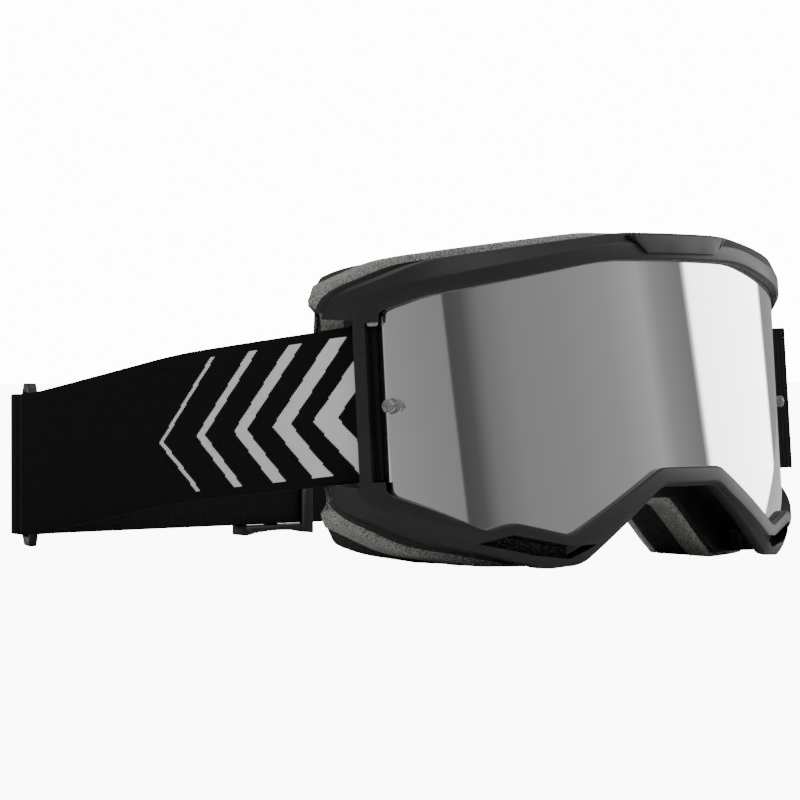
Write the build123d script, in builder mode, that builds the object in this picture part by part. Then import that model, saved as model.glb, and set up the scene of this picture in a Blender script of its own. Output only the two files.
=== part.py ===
"""Motocross goggles: moulded frame, curved lens, layered face foam and an adjustable strap loop.

Millimetres. +Z is up and the floor is z = 0, the wearer looks along -Y, and the origin is
on the floor under the middle of the strap loop. The front of the goggles leans back by
PITCH, so its pieces are drawn on two tilted planes: FRONT, which faces the viewer, and
PLAN, which looks down on the lens curve. Both start at the nose bridge.
"""

import os
from math import cos, radians, sin, sqrt, tan

from build123d import *

os.makedirs("parts", exist_ok=True)

# ------------------------------------------------------------------ driving dimensions
PITCH = 4.61               # lean of the goggle front, degrees
BRIDGE_HEIGHT = 28.3       # nose bridge above the floor
BRIDGE_Y = -100.4          # nose bridge in front of the origin

LENS_FRONT = 2.58          # lens surface behind the bridge point
CENTRE_RADIUS = 97.3       # lens curve across the front
SIDE_RADIUS = 70.3         # tighter lens curve at both sides
SIDE_START = 30.0          # where the tighter curve starts, degrees from the middle
LENS_THICKNESS = 1.2
LENS_TUCK = 1.5            # lens edge held in the frame's groove
LENS_END = 65.2            # side edge of the lens, degrees

BEZEL_PROUD = 2.5          # bezel band above the lens surface
FACET_PROUD = 1.1          # outer facet of the bezel above the lens surface
LIP_DEPTH = 3.5            # back of the bezel's overhanging lip below the lens surface
LEDGE_DEPTH = 6.4          # back of the ledge that the lens rests on
SKIRT_WALL = 2.2           # frame wall between bezel and face flange
SPIGOT_WALL = 1.6          # flange's rim inside that wall
CHANNEL_REACH = 5.0        # channel behind the lip, out past the bezel
FRAME_DEPTH = 20.0         # face flange behind the bridge point
FLANGE_THICKNESS = 2.2
FACE_RADIUS = 98.6         # curve of the flange and foam round the face

BASE_FOAM = 8.5            # three foam layers, frame side first
CORE_FOAM = 13.5
FLEECE = 4.0
TEMPLE_SLANT = 38.0        # bevel of the foam at the temples, degrees from sideways
TEMPLE_INSET = 1.5         # where it starts, inside the foam's outer edge

STRAP_WIDTH = 45.0
STRAP_THICKNESS = 1.8
STRAP_HEIGHT = 47.0        # middle of the strap above the floor at the frame bars
LOOP_DEPTH = 192.5         # back of the strap behind the bridge point
STRAP_SPREAD = 97.0        # strap's distance from the middle plane, halfway back
BAR_START = 67.0           # strap bar on the lens curve, degrees
BAR_END = 70.2
BAR_THICKNESS = 3.1
LEDGE_END = 63.5           # inner edge of the ledge beside the strap slot
HINGE_BEHIND = 50.5        # strap bars behind the bridge point
HINGE_MARGIN = 3.5         # from the strap's edges to the arc where the loop starts to tilt
STRAP_SWING = 12.0         # degrees that the loop tilts each way
SWING_ROOM = 2.6           # between the strap and the foam beside it
SWING_MARGIN = 1.5         # above and below the strap's edges
HEM_PLAY = 0.25            # each side of the sewn hem in the frame's slot
HEM_PROUD = 0.8            # right hem above the bezel, drawn tight
SLACK_HEM_PROUD = 6.8      # left hem, pushed out of its slot
TAIL_END = 1.8             # sewn tail past the strap bar, degrees
SIDE_BEND = 14.0           # radii of the strap's bends beside the foam, behind it and at the back
MIDDLE_BEND = 30.0
BACK_BEND = 200.0
CORNER_BEND = 22.0
RETURN_BEND = 16.0

POST_ANGLE = 61.3          # tear-off posts on the lens curve, degrees
POST_HEIGHT = 21.3
POST_FLANGE_RADIUS = 2.3
POST_HEAD_RADIUS = 1.9
POST_NECK_RADIUS = 1.4
POST_REACH = 5.4

BUCKLE_PLAY = 0.4          # strap's edges to the rails of the ring and slider
SLIDER_LENGTH = 28.0
SLIDER_X = -11.6           # middle of the slider on the back of the strap
SLIDER_BAR = 4.7           # width of the slider's end bars
SLIDER_WALL = 1.8          # bars and the rails beyond the strap layers
SLIDER_TEETH = 13          # grip teeth along each slider rail
GRIP_DEPTH = 1.4           # hollow of each grip edge
GRIP_RADIUS = 70.0
GRIP_SPAN = 20.0           # degrees of that radius with teeth
TOOTH_RADIUS = 0.45
RAIL_HEIGHT = 3.1          # slider and ring rails above and below the strap
FOLD_FLAT = 8.0            # doubled-back layer straight beside the ring
FOLD_SLANT = 18.0          # and where it closes up to the strap
RETURN_GAP = 0.9           # between the strap and its doubled-back layer
RETURN_THICKNESS = 1.6
RING_BAR = 2.8             # width of the ring's two bars
RING_THICKNESS = 2.6
RING_LENGTH = 11.0         # between the middles of the ring's bars
RING_X = -108.3            # middle of the ring
RING_TURN = 70.0           # its slant from sideways, degrees
RING_SWING = 6.0           # degrees that the ring rocks each way

CLEARANCE = 0.3            # between pieces that don't touch
GROOVE_PLAY = 0.15         # round the lens in its groove

# ------------------------------------------------------------------ worked-out places
LEAN = radians(PITCH)
BRIDGE = Vector(0, BRIDGE_Y, BRIDGE_HEIGHT)
FRONT = Plane(origin=BRIDGE, x_dir=(1, 0, 0), z_dir=(0, -cos(LEAN), sin(LEAN)))
PLAN = Plane(origin=BRIDGE, x_dir=(1, 0, 0), z_dir=(0, sin(LEAN), cos(LEAN)))
FAR = 150.0                # beyond every piece of the goggle front
SIDE_X = (CENTRE_RADIUS - SIDE_RADIUS) * sin(radians(SIDE_START))
CENTRE_Y = LENS_FRONT + CENTRE_RADIUS
SIDE_Y = CENTRE_Y - (CENTRE_RADIUS - SIDE_RADIUS) * cos(radians(SIDE_START))

HALF_STRAP = STRAP_WIDTH / 2
HINGE_REACH = HALF_STRAP + HINGE_MARGIN
BUCKLE_HEIGHT = STRAP_WIDTH + 2 * (RAIL_HEIGHT + BUCKLE_PLAY)
TUNNEL_OUT = BEZEL_PROUD - BAR_THICKNESS
TUNNEL_IN = TUNNEL_OUT - STRAP_THICKNESS - 5 * CLEARANCE
TAIL_DEPTH = (TUNNEL_OUT + TUNNEL_IN) / 2
HINGE = Vector(0, BRIDGE_Y + HINGE_BEHIND, STRAP_HEIGHT)
BAR_MIDDLE = PLAN.to_local_coords(HINGE).Z
BACK_Y = BRIDGE_Y + LOOP_DEPTH
BACK_Z = BUCKLE_HEIGHT / 2
STRAP_DROP = STRAP_HEIGHT - BACK_Z
RETURN_Y = BACK_Y + (STRAP_THICKNESS + RETURN_THICKNESS) / 2 + RETURN_GAP

RING_BAR_REACH = sqrt(RING_BAR ** 2 + RING_THICKNESS ** 2) / 2
HEM_EYE = RING_BAR_REACH + CLEARANCE
FOLD_EYE = HEM_EYE + RING_LENGTH * sin(radians(RING_SWING))
FOLD_RADIUS = FOLD_EYE + STRAP_THICKNESS / 2
RING_WAY = Vector(cos(radians(RING_TURN)), sin(radians(RING_TURN)))
RING_FOLD = Vector(RING_X + RING_LENGTH / 2 * RING_WAY.X, BACK_Y + FOLD_RADIUS)
RING_HEM = RING_FOLD - RING_WAY * RING_LENGTH

# Front outlines, right half from the top to the nose: (x, z, corner radius).
BEZEL_EDGE = [
    (20, 68.2, 60), (69.5, 62.2, 20), (82.6, 54.5, 8), (84, 46, 30), (83.4, -6.5, 10),
    (70, -18.4, 20), (46, -27.0, 8), (36.5, -26.2, 9), (10.5, -5.2, 7),
]
FACET_EDGE = [
    (18, 65.6, 60), (66, 58.6, 22), (79.0, 53.2, 7), (83.2, 46, 20), (82.6, -4.5, 12),
    (69, -15.6, 20), (60.5, -18.6, 6), (46, -25.8, 7), (36.8, -25.0, 8), (11.0, -3.6, 7),
]
WINDOW_EDGE = [
    (26, 60.0, 70), (71.5, 51.6, 22), (79.2, 47.8, 2.5), (79.6, -2.6, 5.5),
    (61.6, -15.2, 3.5), (55.0, -13.2, 8), (40.2, -17.6, 4.5), (11.7, 0.4, 6),
]
SKIRT_EDGE = [
    (19, 64.6, 55), (67, 58.8, 18), (79.0, 51.5, 8), (81.0, 40, 20), (80.4, -5.0, 10),
    (68, -14.8, 12), (61.0, -17.9, 4), (55.2, -16.0, 6), (40.4, -20.0, 4), (12.0, -2.6, 5.5),
]
FLANGE_EDGE = [
    (20, 68.0, 60), (69.5, 62.6, 20), (83.4, 55.5, 9), (85.6, 30, 40), (83.6, -7.5, 14),
    (70, -18.6, 22), (46, -25.2, 10), (28.5, -25.4, 6), (22, -20.5, 5), (8.8, -8.0, 6),
]
FOAM_EDGE = [
    (20, 70.3, 60), (70.5, 64.8, 20), (85.2, 56.5, 10), (87.2, 30, 40), (85.4, -8.5, 14),
    (71, -20.6, 22), (46, -27.2, 11), (28.0, -27.0, 6), (20.8, -21.5, 5), (8.0, -9.6, 6),
]
EYE_PORT_EDGE = [
    (18, 56.5, 50), (58, 52.5, 16), (71.5, 45, 10), (71.0, -3.0, 12),
    (53, -14.4, 8), (36, -14.6, 7), (14.5, 3.6, 8),
]
CHEEK_VENT = [(62.4, -18.9), (55.2, -16.9), (40.4, -20.9), (33.2, -20.6), (40.5, -24.4), (50.0, -22.9)]
CHEEK_FOAM = [(38, -25), (64, -25), (64, -12), (38, -12)]
BROW_FOAM = [(-54, 58.6), (54, 58.6), (54, 70), (-54, 70)]
BADGE = [(-19.2, 67.2), (19.2, 67.2), (13.6, 62.0), (-13.6, 62.0)]
BROW_VENTS = [-42, -15, 15, 42]
VENT_SIZE = (16, 5.5, 12)

# Plan of the right strap's middle line behind the bar, measured from the nose bridge.
STRAP_LINE = [(83.8, 67.0), (88.8, 86.0), (STRAP_SPREAD, 121.5)]
STRAP_START = (80, 58)     # inside the hinge drum
BACK_CORNER = 118.4        # where the right side and the back of the strap would meet
# Slope of the strap's middle line: distance behind the bridge and share of STRAP_DROP.
SLOPE_TURN = (0.63 * LOOP_DEPTH, 0.386)
STRAP_SLOPE = [(30, -0.11), (HINGE_BEHIND, 0), SLOPE_TURN, (0.96 * LOOP_DEPTH, 1), (LOOP_DEPTH + 20, 1)]


# ------------------------------------------------------------------ drawing helpers
def lens_point(angle, depth):
    """Plan point at an angle round the lens curve, a distance out of the lens surface."""
    turn = radians(abs(angle))
    inner = abs(angle) <= SIDE_START
    radius = depth + (CENTRE_RADIUS if inner else SIDE_RADIUS)
    x = radius * sin(turn) + (0 if inner else SIDE_X)
    y = (CENTRE_Y if inner else SIDE_Y) - radius * cos(turn)
    return (x if angle >= 0 else -x, y)


def lens_arc(start, end, depth):
    """One arc of the lens curve inside a BuildLine."""
    ThreePointArc(
        lens_point(start, depth), lens_point((start + end) / 2, depth), lens_point(end, depth)
    )


def lens_plane(angle, height):
    """Plane on the lens surface that faces straight out of it."""
    origin = PLAN.from_local_coords(Vector(*lens_point(angle, 0), height))
    turn = radians(angle)
    out = PLAN.from_local_coords(Vector(sin(turn), -cos(turn), 0)) - PLAN.origin
    return Plane(origin=origin, x_dir=PLAN.z_dir, z_dir=out)


def front_face(edge, grow=0.0):
    """Symmetric face on the FRONT plane from the right half of its outline."""
    right = [(x, z) for x, z, _ in edge]
    left = [(-x, z) for x, z in reversed(right)]
    radii = [radius for _, _, radius in edge]
    with BuildSketch(FRONT.offset(FAR)) as face:
        with BuildLine():
            FilletPolyline(*right, *left, radius=radii + radii[::-1], close=True)
        make_face()
        if grow:
            offset(amount=grow, mode=Mode.REPLACE)
    return face.sketch


def front_plate(points, side=1):
    """Straight-sided face on the FRONT plane, mirrored where side is -1."""
    with BuildSketch(FRONT.offset(FAR)) as face:
        with BuildLine():
            Polyline(*[(side * x, z) for x, z in points], close=True)
        make_face()
    return face.sketch


def lens_slab(depth, ahead=False):
    """Plan face of all that lies behind, or ahead of, the lens curve moved out by depth."""
    reach = lens_point(90, depth)[0]
    around = [(reach, SIDE_Y), (FAR, SIDE_Y), (FAR, -FAR), (-FAR, -FAR), (-FAR, SIDE_Y), (-reach, SIDE_Y)]
    behind = [(reach, SIDE_Y), (reach, FAR), (-reach, FAR), (-reach, SIDE_Y)]
    with BuildSketch(PLAN.offset(-FAR)) as face:
        with BuildLine():
            lens_arc(-90, -SIDE_START, depth)
            lens_arc(-SIDE_START, SIDE_START, depth)
            lens_arc(SIDE_START, 90, depth)
            Polyline(*(around if ahead else behind))
        make_face()
    return face.sketch


def face_slab(start, end):
    """Plan face between two copies of the face curve, at distances behind the flange's back."""
    half = 0.95 * FACE_RADIUS
    sag = FACE_RADIUS - sqrt(FACE_RADIUS ** 2 - half ** 2)
    near, far = FRAME_DEPTH + start, FRAME_DEPTH + end
    with BuildSketch(PLAN.offset(-FAR)) as face:
        with BuildLine():
            ThreePointArc((-half, near + sag), (0, near), (half, near + sag))
            Line((half, near + sag), (half, far + sag))
            ThreePointArc((half, far + sag), (0, far), (-half, far + sag))
            Line((-half, far + sag), (-half, near + sag))
        make_face()
    return face.sketch


def temple(side):
    """Block of the room outside the bevelled temple of the foam."""
    x = max(x for x, _, _ in FOAM_EDGE) - TEMPLE_INSET
    y = FRAME_DEPTH + FACE_RADIUS - sqrt(FACE_RADIUS ** 2 - x ** 2)
    run = FAR / 2
    inner = (x - run, y + run * tan(radians(TEMPLE_SLANT)))
    outline = [(x, y), inner, (inner[0], FAR), (FAR, FAR), (FAR, y)]
    with BuildPart() as room:
        with BuildSketch(PLAN.offset(-FAR)):
            with BuildLine():
                Polyline(*[(side * px, py) for px, py in outline], close=True)
            make_face()
        extrude(amount=2 * FAR)
    return room.part


def wedge(angle):
    """Plan face of all that lies within an angle of the middle, seen from the lens centres."""
    x, y = SIDE_X + FAR * sin(radians(angle)), SIDE_Y - FAR * cos(radians(angle))
    with BuildSketch(PLAN.offset(-FAR)) as face:
        with BuildLine():
            Polyline((SIDE_X, SIDE_Y), (x, y), (x, -FAR), (-x, -FAR), (-x, y), (-SIDE_X, SIDE_Y), close=True)
        make_face()
    return face.sketch


def moulding(face, *slabs):
    """Front outline extruded front to back, kept where every plan slab has it."""
    with BuildPart() as solid:
        extrude(face, amount=-2 * FAR)
        for slab in slabs:
            extrude(slab, amount=2 * FAR, mode=Mode.INTERSECT)
    return solid.part


def sector(start, end, inner, outer, side, half_height):
    """Block between two angles and two depths of the lens curve, beside the strap bar."""
    with BuildPart() as solid:
        with BuildSketch(PLAN.offset(BAR_MIDDLE - half_height)):
            with BuildLine():
                lens_arc(side * start, side * end, inner)
                Line(lens_point(side * end, inner), lens_point(side * end, outer))
                lens_arc(side * end, side * start, outer)
                Line(lens_point(side * start, outer), lens_point(side * start, inner))
            make_face()
        extrude(amount=2 * half_height)
    return solid.part


def strap_point(point, side=1):
    """Plan point in the row frame from one measured from the nose bridge."""
    return (side * point[0], BRIDGE_Y + point[1])


def recess(side):
    """Room that the strap swings in behind its bar."""
    inset = STRAP_THICKNESS / 2 + SWING_ROOM
    line = [(x - inset, y) for x, y in STRAP_LINE[:2]]
    outside = lens_point(BAR_END, 3 * BAR_THICKNESS)
    outline = [lens_point(BAR_END, TUNNEL_IN), *line, (line[-1][0], FAR), (FAR, FAR)]
    outline += [(FAR, outside[1]), outside]
    slope = (SLOPE_TURN[1] * STRAP_DROP) / (SLOPE_TURN[0] - HINGE_BEHIND)
    fall, rise = FAR * (tan(radians(STRAP_SWING)) + slope), FAR * (tan(radians(STRAP_SWING)) - slope)
    low, high = HINGE.Z - HALF_STRAP - SWING_MARGIN, HINGE.Z + HALF_STRAP + SWING_MARGIN
    fan = [(HINGE.Y - FAR, low), (HINGE.Y, low), (HINGE.Y + FAR, low - fall)]
    fan += [(HINGE.Y + FAR, high + rise), (HINGE.Y, high), (HINGE.Y - FAR, high)]
    with BuildPart() as room:
        with BuildSketch(Plane.XY.offset(-FAR)):
            with BuildLine():
                Polyline(*[strap_point(point, side) for point in outline], close=True)
            make_face()
        extrude(amount=3 * FAR)
        with BuildSketch(Plane.YZ.offset(-FAR)):
            with BuildLine():
                Polyline(*fan, close=True)
            make_face()
        extrude(amount=2 * FAR, mode=Mode.INTERSECT)
    return room.part


def strap_run(points, radii, thickness):
    """Upright strap along a plan line, cut to the strap's height and slope."""
    slope = [(BRIDGE_Y + y, STRAP_HEIGHT - drop * STRAP_DROP) for y, drop in STRAP_SLOPE]
    outline = [(y, z - HALF_STRAP) for y, z in slope] + [(y, z + HALF_STRAP) for y, z in reversed(slope)]
    bends = [0, 0, 90, 40, 0, 0, 40, 90, 0, 0]
    with BuildPart() as run:
        with BuildSketch(Plane.XY):
            with BuildLine():
                FilletPolyline(*points, radius=radii)
            trace(line_width=thickness)
        extrude(amount=FAR)
        with BuildSketch(Plane.YZ.offset(-FAR)):
            with BuildLine():
                FilletPolyline(*outline, radius=bends, close=True)
            make_face()
        extrude(amount=2 * FAR, mode=Mode.INTERSECT)
    return run.part


def strap_eye(centre, inner, start, end):
    """Turn of strap round a ring bar, between two angles seen from above."""
    with BuildPart() as eye:
        with BuildSketch(Plane.XY.offset(BACK_Z - HALF_STRAP)):
            with Locations((centre.X, centre.Y)):
                Circle(inner + STRAP_THICKNESS)
                Circle(inner, mode=Mode.SUBTRACT)
            if end - start < 360:
                reach = 2 * (inner + STRAP_THICKNESS)
                a, b = radians(start), radians(end)
                corner_x, corner_y = reach * (cos(a) + cos(b)), reach * (sin(a) + sin(b))
                with BuildLine():
                    Polyline(
                        (centre.X, centre.Y),
                        (centre.X + reach * cos(a), centre.Y + reach * sin(a)),
                        (centre.X + corner_x, centre.Y + corner_y),
                        (centre.X + reach * cos(b), centre.Y + reach * sin(b)),
                        close=True,
                    )
                make_face(mode=Mode.INTERSECT)
        extrude(amount=STRAP_WIDTH)
    return eye.part


def hinge_drum(radius):
    """Round block about the hinge line that the strap loop tilts on."""
    with BuildPart() as drum:
        with BuildSketch(Plane.YZ.offset(-FAR)):
            with Locations((HINGE.Y, HINGE.Z)):
                Circle(radius)
        extrude(amount=2 * FAR)
    return drum.part


# ------------------------------------------------------------------ frame and lens
AHEAD_OF_FLANGE = face_slab(-FAR / 2, -FLANGE_THICKNESS)
CAVITY = front_face(SKIRT_EDGE, -SKIRT_WALL)
WINDOW = front_face(WINDOW_EDGE)

with BuildPart() as channel:
    add(moulding(front_face(BEZEL_EDGE, CHANNEL_REACH), lens_slab(-LIP_DEPTH)))
    add(moulding(front_face(SKIRT_EDGE), lens_slab(BEZEL_PROUD)), mode=Mode.SUBTRACT)

with BuildPart() as outer_frame:
    add(moulding(front_face(FACET_EDGE), lens_slab(BEZEL_PROUD), AHEAD_OF_FLANGE))
    add(moulding(front_face(BEZEL_EDGE), lens_slab(FACET_PROUD), AHEAD_OF_FLANGE))
    add(moulding(CAVITY, lens_slab(-LEDGE_DEPTH)), mode=Mode.SUBTRACT)
    add(moulding(WINDOW, wedge(LEDGE_END)), mode=Mode.SUBTRACT)
    add(moulding(WINDOW, wedge(BAR_START), lens_slab(GROOVE_PLAY, ahead=True)), mode=Mode.SUBTRACT)
    groove = moulding(
        front_face(WINDOW_EDGE, LENS_TUCK + GROOVE_PLAY),
        wedge(BAR_START),
        lens_slab(GROOVE_PLAY),
        lens_slab(-LENS_THICKNESS - GROOVE_PLAY, ahead=True),
    )
    add(groove, mode=Mode.SUBTRACT)
    add(channel.part, mode=Mode.SUBTRACT)
    for side in (-1, 1):
        play = HALF_STRAP + 2 * CLEARANCE
        add(sector(LENS_END, BAR_START, TUNNEL_IN, 3 * BEZEL_PROUD, side, play), mode=Mode.SUBTRACT)
        tunnel = sector(LENS_END, BAR_END + TAIL_END + CLEARANCE, TUNNEL_IN, TUNNEL_OUT, side, play)
        add(tunnel, mode=Mode.SUBTRACT)
        add(recess(side), mode=Mode.SUBTRACT)
        add(moulding(front_plate(CHEEK_VENT, side)), mode=Mode.SUBTRACT)
    for x in BROW_VENTS:
        lens_y = CENTRE_Y - sqrt(CENTRE_RADIUS ** 2 - x ** 2)
        flange_y = FRAME_DEPTH - FLANGE_THICKNESS + FACE_RADIUS - sqrt(FACE_RADIUS ** 2 - x ** 2)
        with Locations(PLAN.offset(62) * Pos(x, (lens_y + LIP_DEPTH + flange_y) / 2)):
            Box(*VENT_SIZE, mode=Mode.SUBTRACT)
    split(bisect_by=Plane.XY.offset(CLEARANCE), keep=Keep.TOP)
outer_frame.part.label = "outer_frame"
export_step(outer_frame.part, "parts/outer_frame.step")

with BuildPart() as face_flange:
    add(moulding(front_face(FLANGE_EDGE), face_slab(-FLANGE_THICKNESS, 0)))
    spigot = moulding(
        front_face(SKIRT_EDGE, -SKIRT_WALL - GROOVE_PLAY),
        lens_slab(-LEDGE_DEPTH - CLEARANCE),
        face_slab(-2.5 * FLANGE_THICKNESS, -FLANGE_THICKNESS),
        wedge(LEDGE_END),
    )
    add(spigot)
    spigot_bore = moulding(
        front_face(SKIRT_EDGE, -SKIRT_WALL - SPIGOT_WALL),
        face_slab(-FAR / 2, -FLANGE_THICKNESS),
    )
    add(spigot_bore, mode=Mode.SUBTRACT)
    add(moulding(front_face(EYE_PORT_EDGE)), mode=Mode.SUBTRACT)
    for side in (-1, 1):
        play = HALF_STRAP + 2 * CLEARANCE
        with BuildPart() as swing:
            add(recess(side))
            add(sector(BAR_START, BAR_END + 2 * TAIL_END, TUNNEL_IN, 3 * BEZEL_PROUD, side, play))
        add(swing.part, mode=Mode.SUBTRACT)
    split(bisect_by=Plane.XY.offset(2 * CLEARANCE), keep=Keep.TOP)
face_flange.part.label = "face_flange"
export_step(face_flange.part, "parts/face_flange.step")

with BuildPart() as lens:
    shell = moulding(
        front_face(WINDOW_EDGE, LENS_TUCK),
        lens_slab(0),
        lens_slab(-LENS_THICKNESS, ahead=True),
        wedge(LENS_END),
    )
    add(shell)
    for angle in (-POST_ANGLE, POST_ANGLE):
        with BuildSketch(lens_plane(angle, POST_HEIGHT)):
            Circle(POST_NECK_RADIUS + GROOVE_PLAY)
        extrude(amount=2 * LENS_THICKNESS, both=True, mode=Mode.SUBTRACT)
lens.part.label = "lens"
export_step(lens.part, "parts/lens.step")

for side, angle in (("left", POST_ANGLE), ("right", -POST_ANGLE)):
    seat = lens_plane(angle, POST_HEIGHT)
    with BuildPart() as post:
        with BuildSketch(seat.offset(-2 * LENS_THICKNESS)):
            Circle(POST_NECK_RADIUS)
        extrude(amount=2 * LENS_THICKNESS + POST_REACH / 2)
        with BuildSketch(seat):
            Circle(POST_FLANGE_RADIUS)
        extrude(amount=LENS_THICKNESS)
        with BuildSketch(seat.offset(POST_REACH / 2)):
            Circle(POST_HEAD_RADIUS)
        extrude(amount=POST_REACH / 2)
        dome = post.edges().filter_by(GeomType.CIRCLE).sort_by(Axis(seat.origin, seat.z_dir))[-1]
        fillet(dome, POST_HEAD_RADIUS / 2)
    post.part.label = "tear_off_post_" + side
    export_step(post.part, "parts/tear_off_post_" + side + ".step")

    with BuildPart() as washer:
        with BuildSketch(seat.offset(-LENS_THICKNESS - GROOVE_PLAY)):
            Circle(POST_FLANGE_RADIUS + CLEARANCE)
            Circle(POST_NECK_RADIUS, mode=Mode.SUBTRACT)
        extrude(amount=-LENS_THICKNESS)
    washer.part.label = "post_washer_" + side
    export_step(washer.part, "parts/post_washer_" + side + ".step")

with BuildPart() as brow_badge:
    plate = moulding(front_plate(BADGE), lens_slab(BEZEL_PROUD + 1.1), lens_slab(-LIP_DEPTH, ahead=True))
    add(plate)
    add(outer_frame.part, mode=Mode.SUBTRACT)
brow_badge.part.label = "brow_badge"
export_step(brow_badge.part, "parts/brow_badge.step")

# ------------------------------------------------------------------ foam
LAYERS = (
    ("face_foam_base", 0, BASE_FOAM, 0.0),
    ("face_foam_core", BASE_FOAM, CORE_FOAM, -0.6),
    ("face_fleece", BASE_FOAM + CORE_FOAM, FLEECE, -1.4),
)
for name, start, thickness, grow in LAYERS:
    with BuildPart() as layer:
        add(moulding(front_face(FOAM_EDGE, grow), face_slab(start, start + thickness)))
        add(moulding(front_face(EYE_PORT_EDGE, -grow)), mode=Mode.SUBTRACT)
        for side in (-1, 1):
            add(recess(side), mode=Mode.SUBTRACT)
            add(temple(side), mode=Mode.SUBTRACT)
        split(bisect_by=Plane.XY, keep=Keep.TOP)
    layer.part.label = name
    export_step(layer.part, "parts/" + name + ".step")

with BuildPart() as brow_vent_foam:
    strip = moulding(
        front_face(SKIRT_EDGE, -SKIRT_WALL - GROOVE_PLAY),
        lens_slab(-LEDGE_DEPTH - CLEARANCE),
        face_slab(-FAR / 2, -2.5 * FLANGE_THICKNESS - CLEARANCE),
    )
    add(strip)
    add(moulding(front_plate(BROW_FOAM)), mode=Mode.INTERSECT)
brow_vent_foam.part.label = "brow_vent_foam"
export_step(brow_vent_foam.part, "parts/brow_vent_foam.step")

for name, side in (("cheek_vent_foam_left", 1), ("cheek_vent_foam_right", -1)):
    with BuildPart() as plug:
        add(moulding(front_face(BEZEL_EDGE, -5 * CLEARANCE), lens_slab(-LIP_DEPTH - CLEARANCE)))
        room = moulding(front_plate(CHEEK_FOAM, side), face_slab(-FAR / 2, -FLANGE_THICKNESS - CLEARANCE))
        add(room, mode=Mode.INTERSECT)
        add(moulding(front_face(SKIRT_EDGE, GROOVE_PLAY)), mode=Mode.SUBTRACT)
        split(bisect_by=Plane.XY.offset(4 * CLEARANCE), keep=Keep.TOP)
    plug.part.label = name
    export_step(plug.part, "parts/" + name + ".step")

# ------------------------------------------------------------------ strap
for name, side, proud in (("strap_end_left", 1, SLACK_HEM_PROUD), ("strap_end_right", -1, HEM_PROUD)):
    with BuildPart() as strap_end:
        hem_start, hem_end = LENS_END + HEM_PLAY, BAR_START - HEM_PLAY
        under = TAIL_DEPTH - STRAP_THICKNESS / 2, TAIL_DEPTH + STRAP_THICKNESS / 2
        line = [lens_point(BAR_END + TAIL_END - CLEARANCE, TAIL_DEPTH), *STRAP_LINE]
        with BuildSketch(Plane.XY):
            with BuildLine():
                FilletPolyline(*[strap_point(point, side) for point in line], radius=[SIDE_BEND, MIDDLE_BEND])
            trace(line_width=STRAP_THICKNESS)
        extrude(amount=FAR)
        with BuildSketch(Plane.YZ.offset(-FAR)):
            with Locations((HINGE.Y, HINGE.Z)):
                Rectangle(2 * FAR, STRAP_WIDTH)
        extrude(amount=2 * FAR, mode=Mode.INTERSECT)
        add(hinge_drum(HINGE_REACH), mode=Mode.INTERSECT)
        add(sector(hem_start, hem_end, under[0], BEZEL_PROUD + proud, side, HALF_STRAP))
        add(sector(hem_start, BAR_END + TAIL_END, *under, side, HALF_STRAP))
    strap_end.part.label = name
    export_step(strap_end.part, "parts/" + name + ".step")

with BuildPart() as strap_short:
    hem_edge = (RING_HEM.X - HEM_EYE - STRAP_THICKNESS / 2, RING_HEM.Y)
    line = [strap_point(point, -1) for point in [STRAP_START, *STRAP_LINE]]
    add(strap_run([*line, hem_edge], [SIDE_BEND, MIDDLE_BEND, BACK_BEND], STRAP_THICKNESS))
    add(strap_eye(RING_HEM, HEM_EYE, 0, 360))
    add(hinge_drum(HINGE_REACH + CLEARANCE), mode=Mode.SUBTRACT)
strap_short.part.label = "strap_short"
export_step(strap_short.part, "parts/strap_short.step")

with BuildPart() as strap_long:
    line = [strap_point(point) for point in [STRAP_START, *STRAP_LINE]]
    line += [(BACK_CORNER, BACK_Y), (RING_FOLD.X, BACK_Y)]
    add(strap_run(line, [SIDE_BEND, MIDDLE_BEND, BACK_BEND, CORNER_BEND], STRAP_THICKNESS))
    add(strap_eye(RING_FOLD, FOLD_EYE, 180, 270))
    add(hinge_drum(HINGE_REACH + CLEARANCE), mode=Mode.SUBTRACT)
strap_long.part.label = "strap_long"
export_step(strap_long.part, "parts/strap_long.step")

with BuildPart() as strap_return:
    fold_y = RING_FOLD.Y + FOLD_RADIUS
    end_x = SLIDER_X - SLIDER_BAR / 2 - CLEARANCE
    flat_x = RING_FOLD.X + FOLD_FLAT
    line = [(RING_FOLD.X, fold_y), (flat_x, fold_y), (flat_x + FOLD_SLANT, RETURN_Y), (end_x, RETURN_Y)]
    add(strap_run(line, [RETURN_BEND, RETURN_BEND], RETURN_THICKNESS))
    add(strap_eye(RING_FOLD, FOLD_EYE, 90, 180))
strap_return.part.label = "strap_return"
export_step(strap_return.part, "parts/strap_return.step")

# ------------------------------------------------------------------ ring and slider
RING_PLANE = Plane(
    origin=((RING_HEM.X + RING_FOLD.X) / 2, (RING_HEM.Y + RING_FOLD.Y) / 2, BACK_Z),
    x_dir=(RING_WAY.X, RING_WAY.Y, 0),
    z_dir=(RING_WAY.Y, -RING_WAY.X, 0),
)
with BuildPart() as ring:
    with BuildSketch(RING_PLANE) as ring_face:
        Rectangle(RING_LENGTH + RING_BAR, BUCKLE_HEIGHT)
        chamfer(ring_face.vertices(), RING_BAR)
        Rectangle(RING_LENGTH - RING_BAR, BUCKLE_HEIGHT - 2 * RAIL_HEIGHT, mode=Mode.SUBTRACT)
    extrude(amount=RING_THICKNESS / 2, both=True)
ring.part.label = "ring"
export_step(ring.part, "parts/ring.step")

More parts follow.
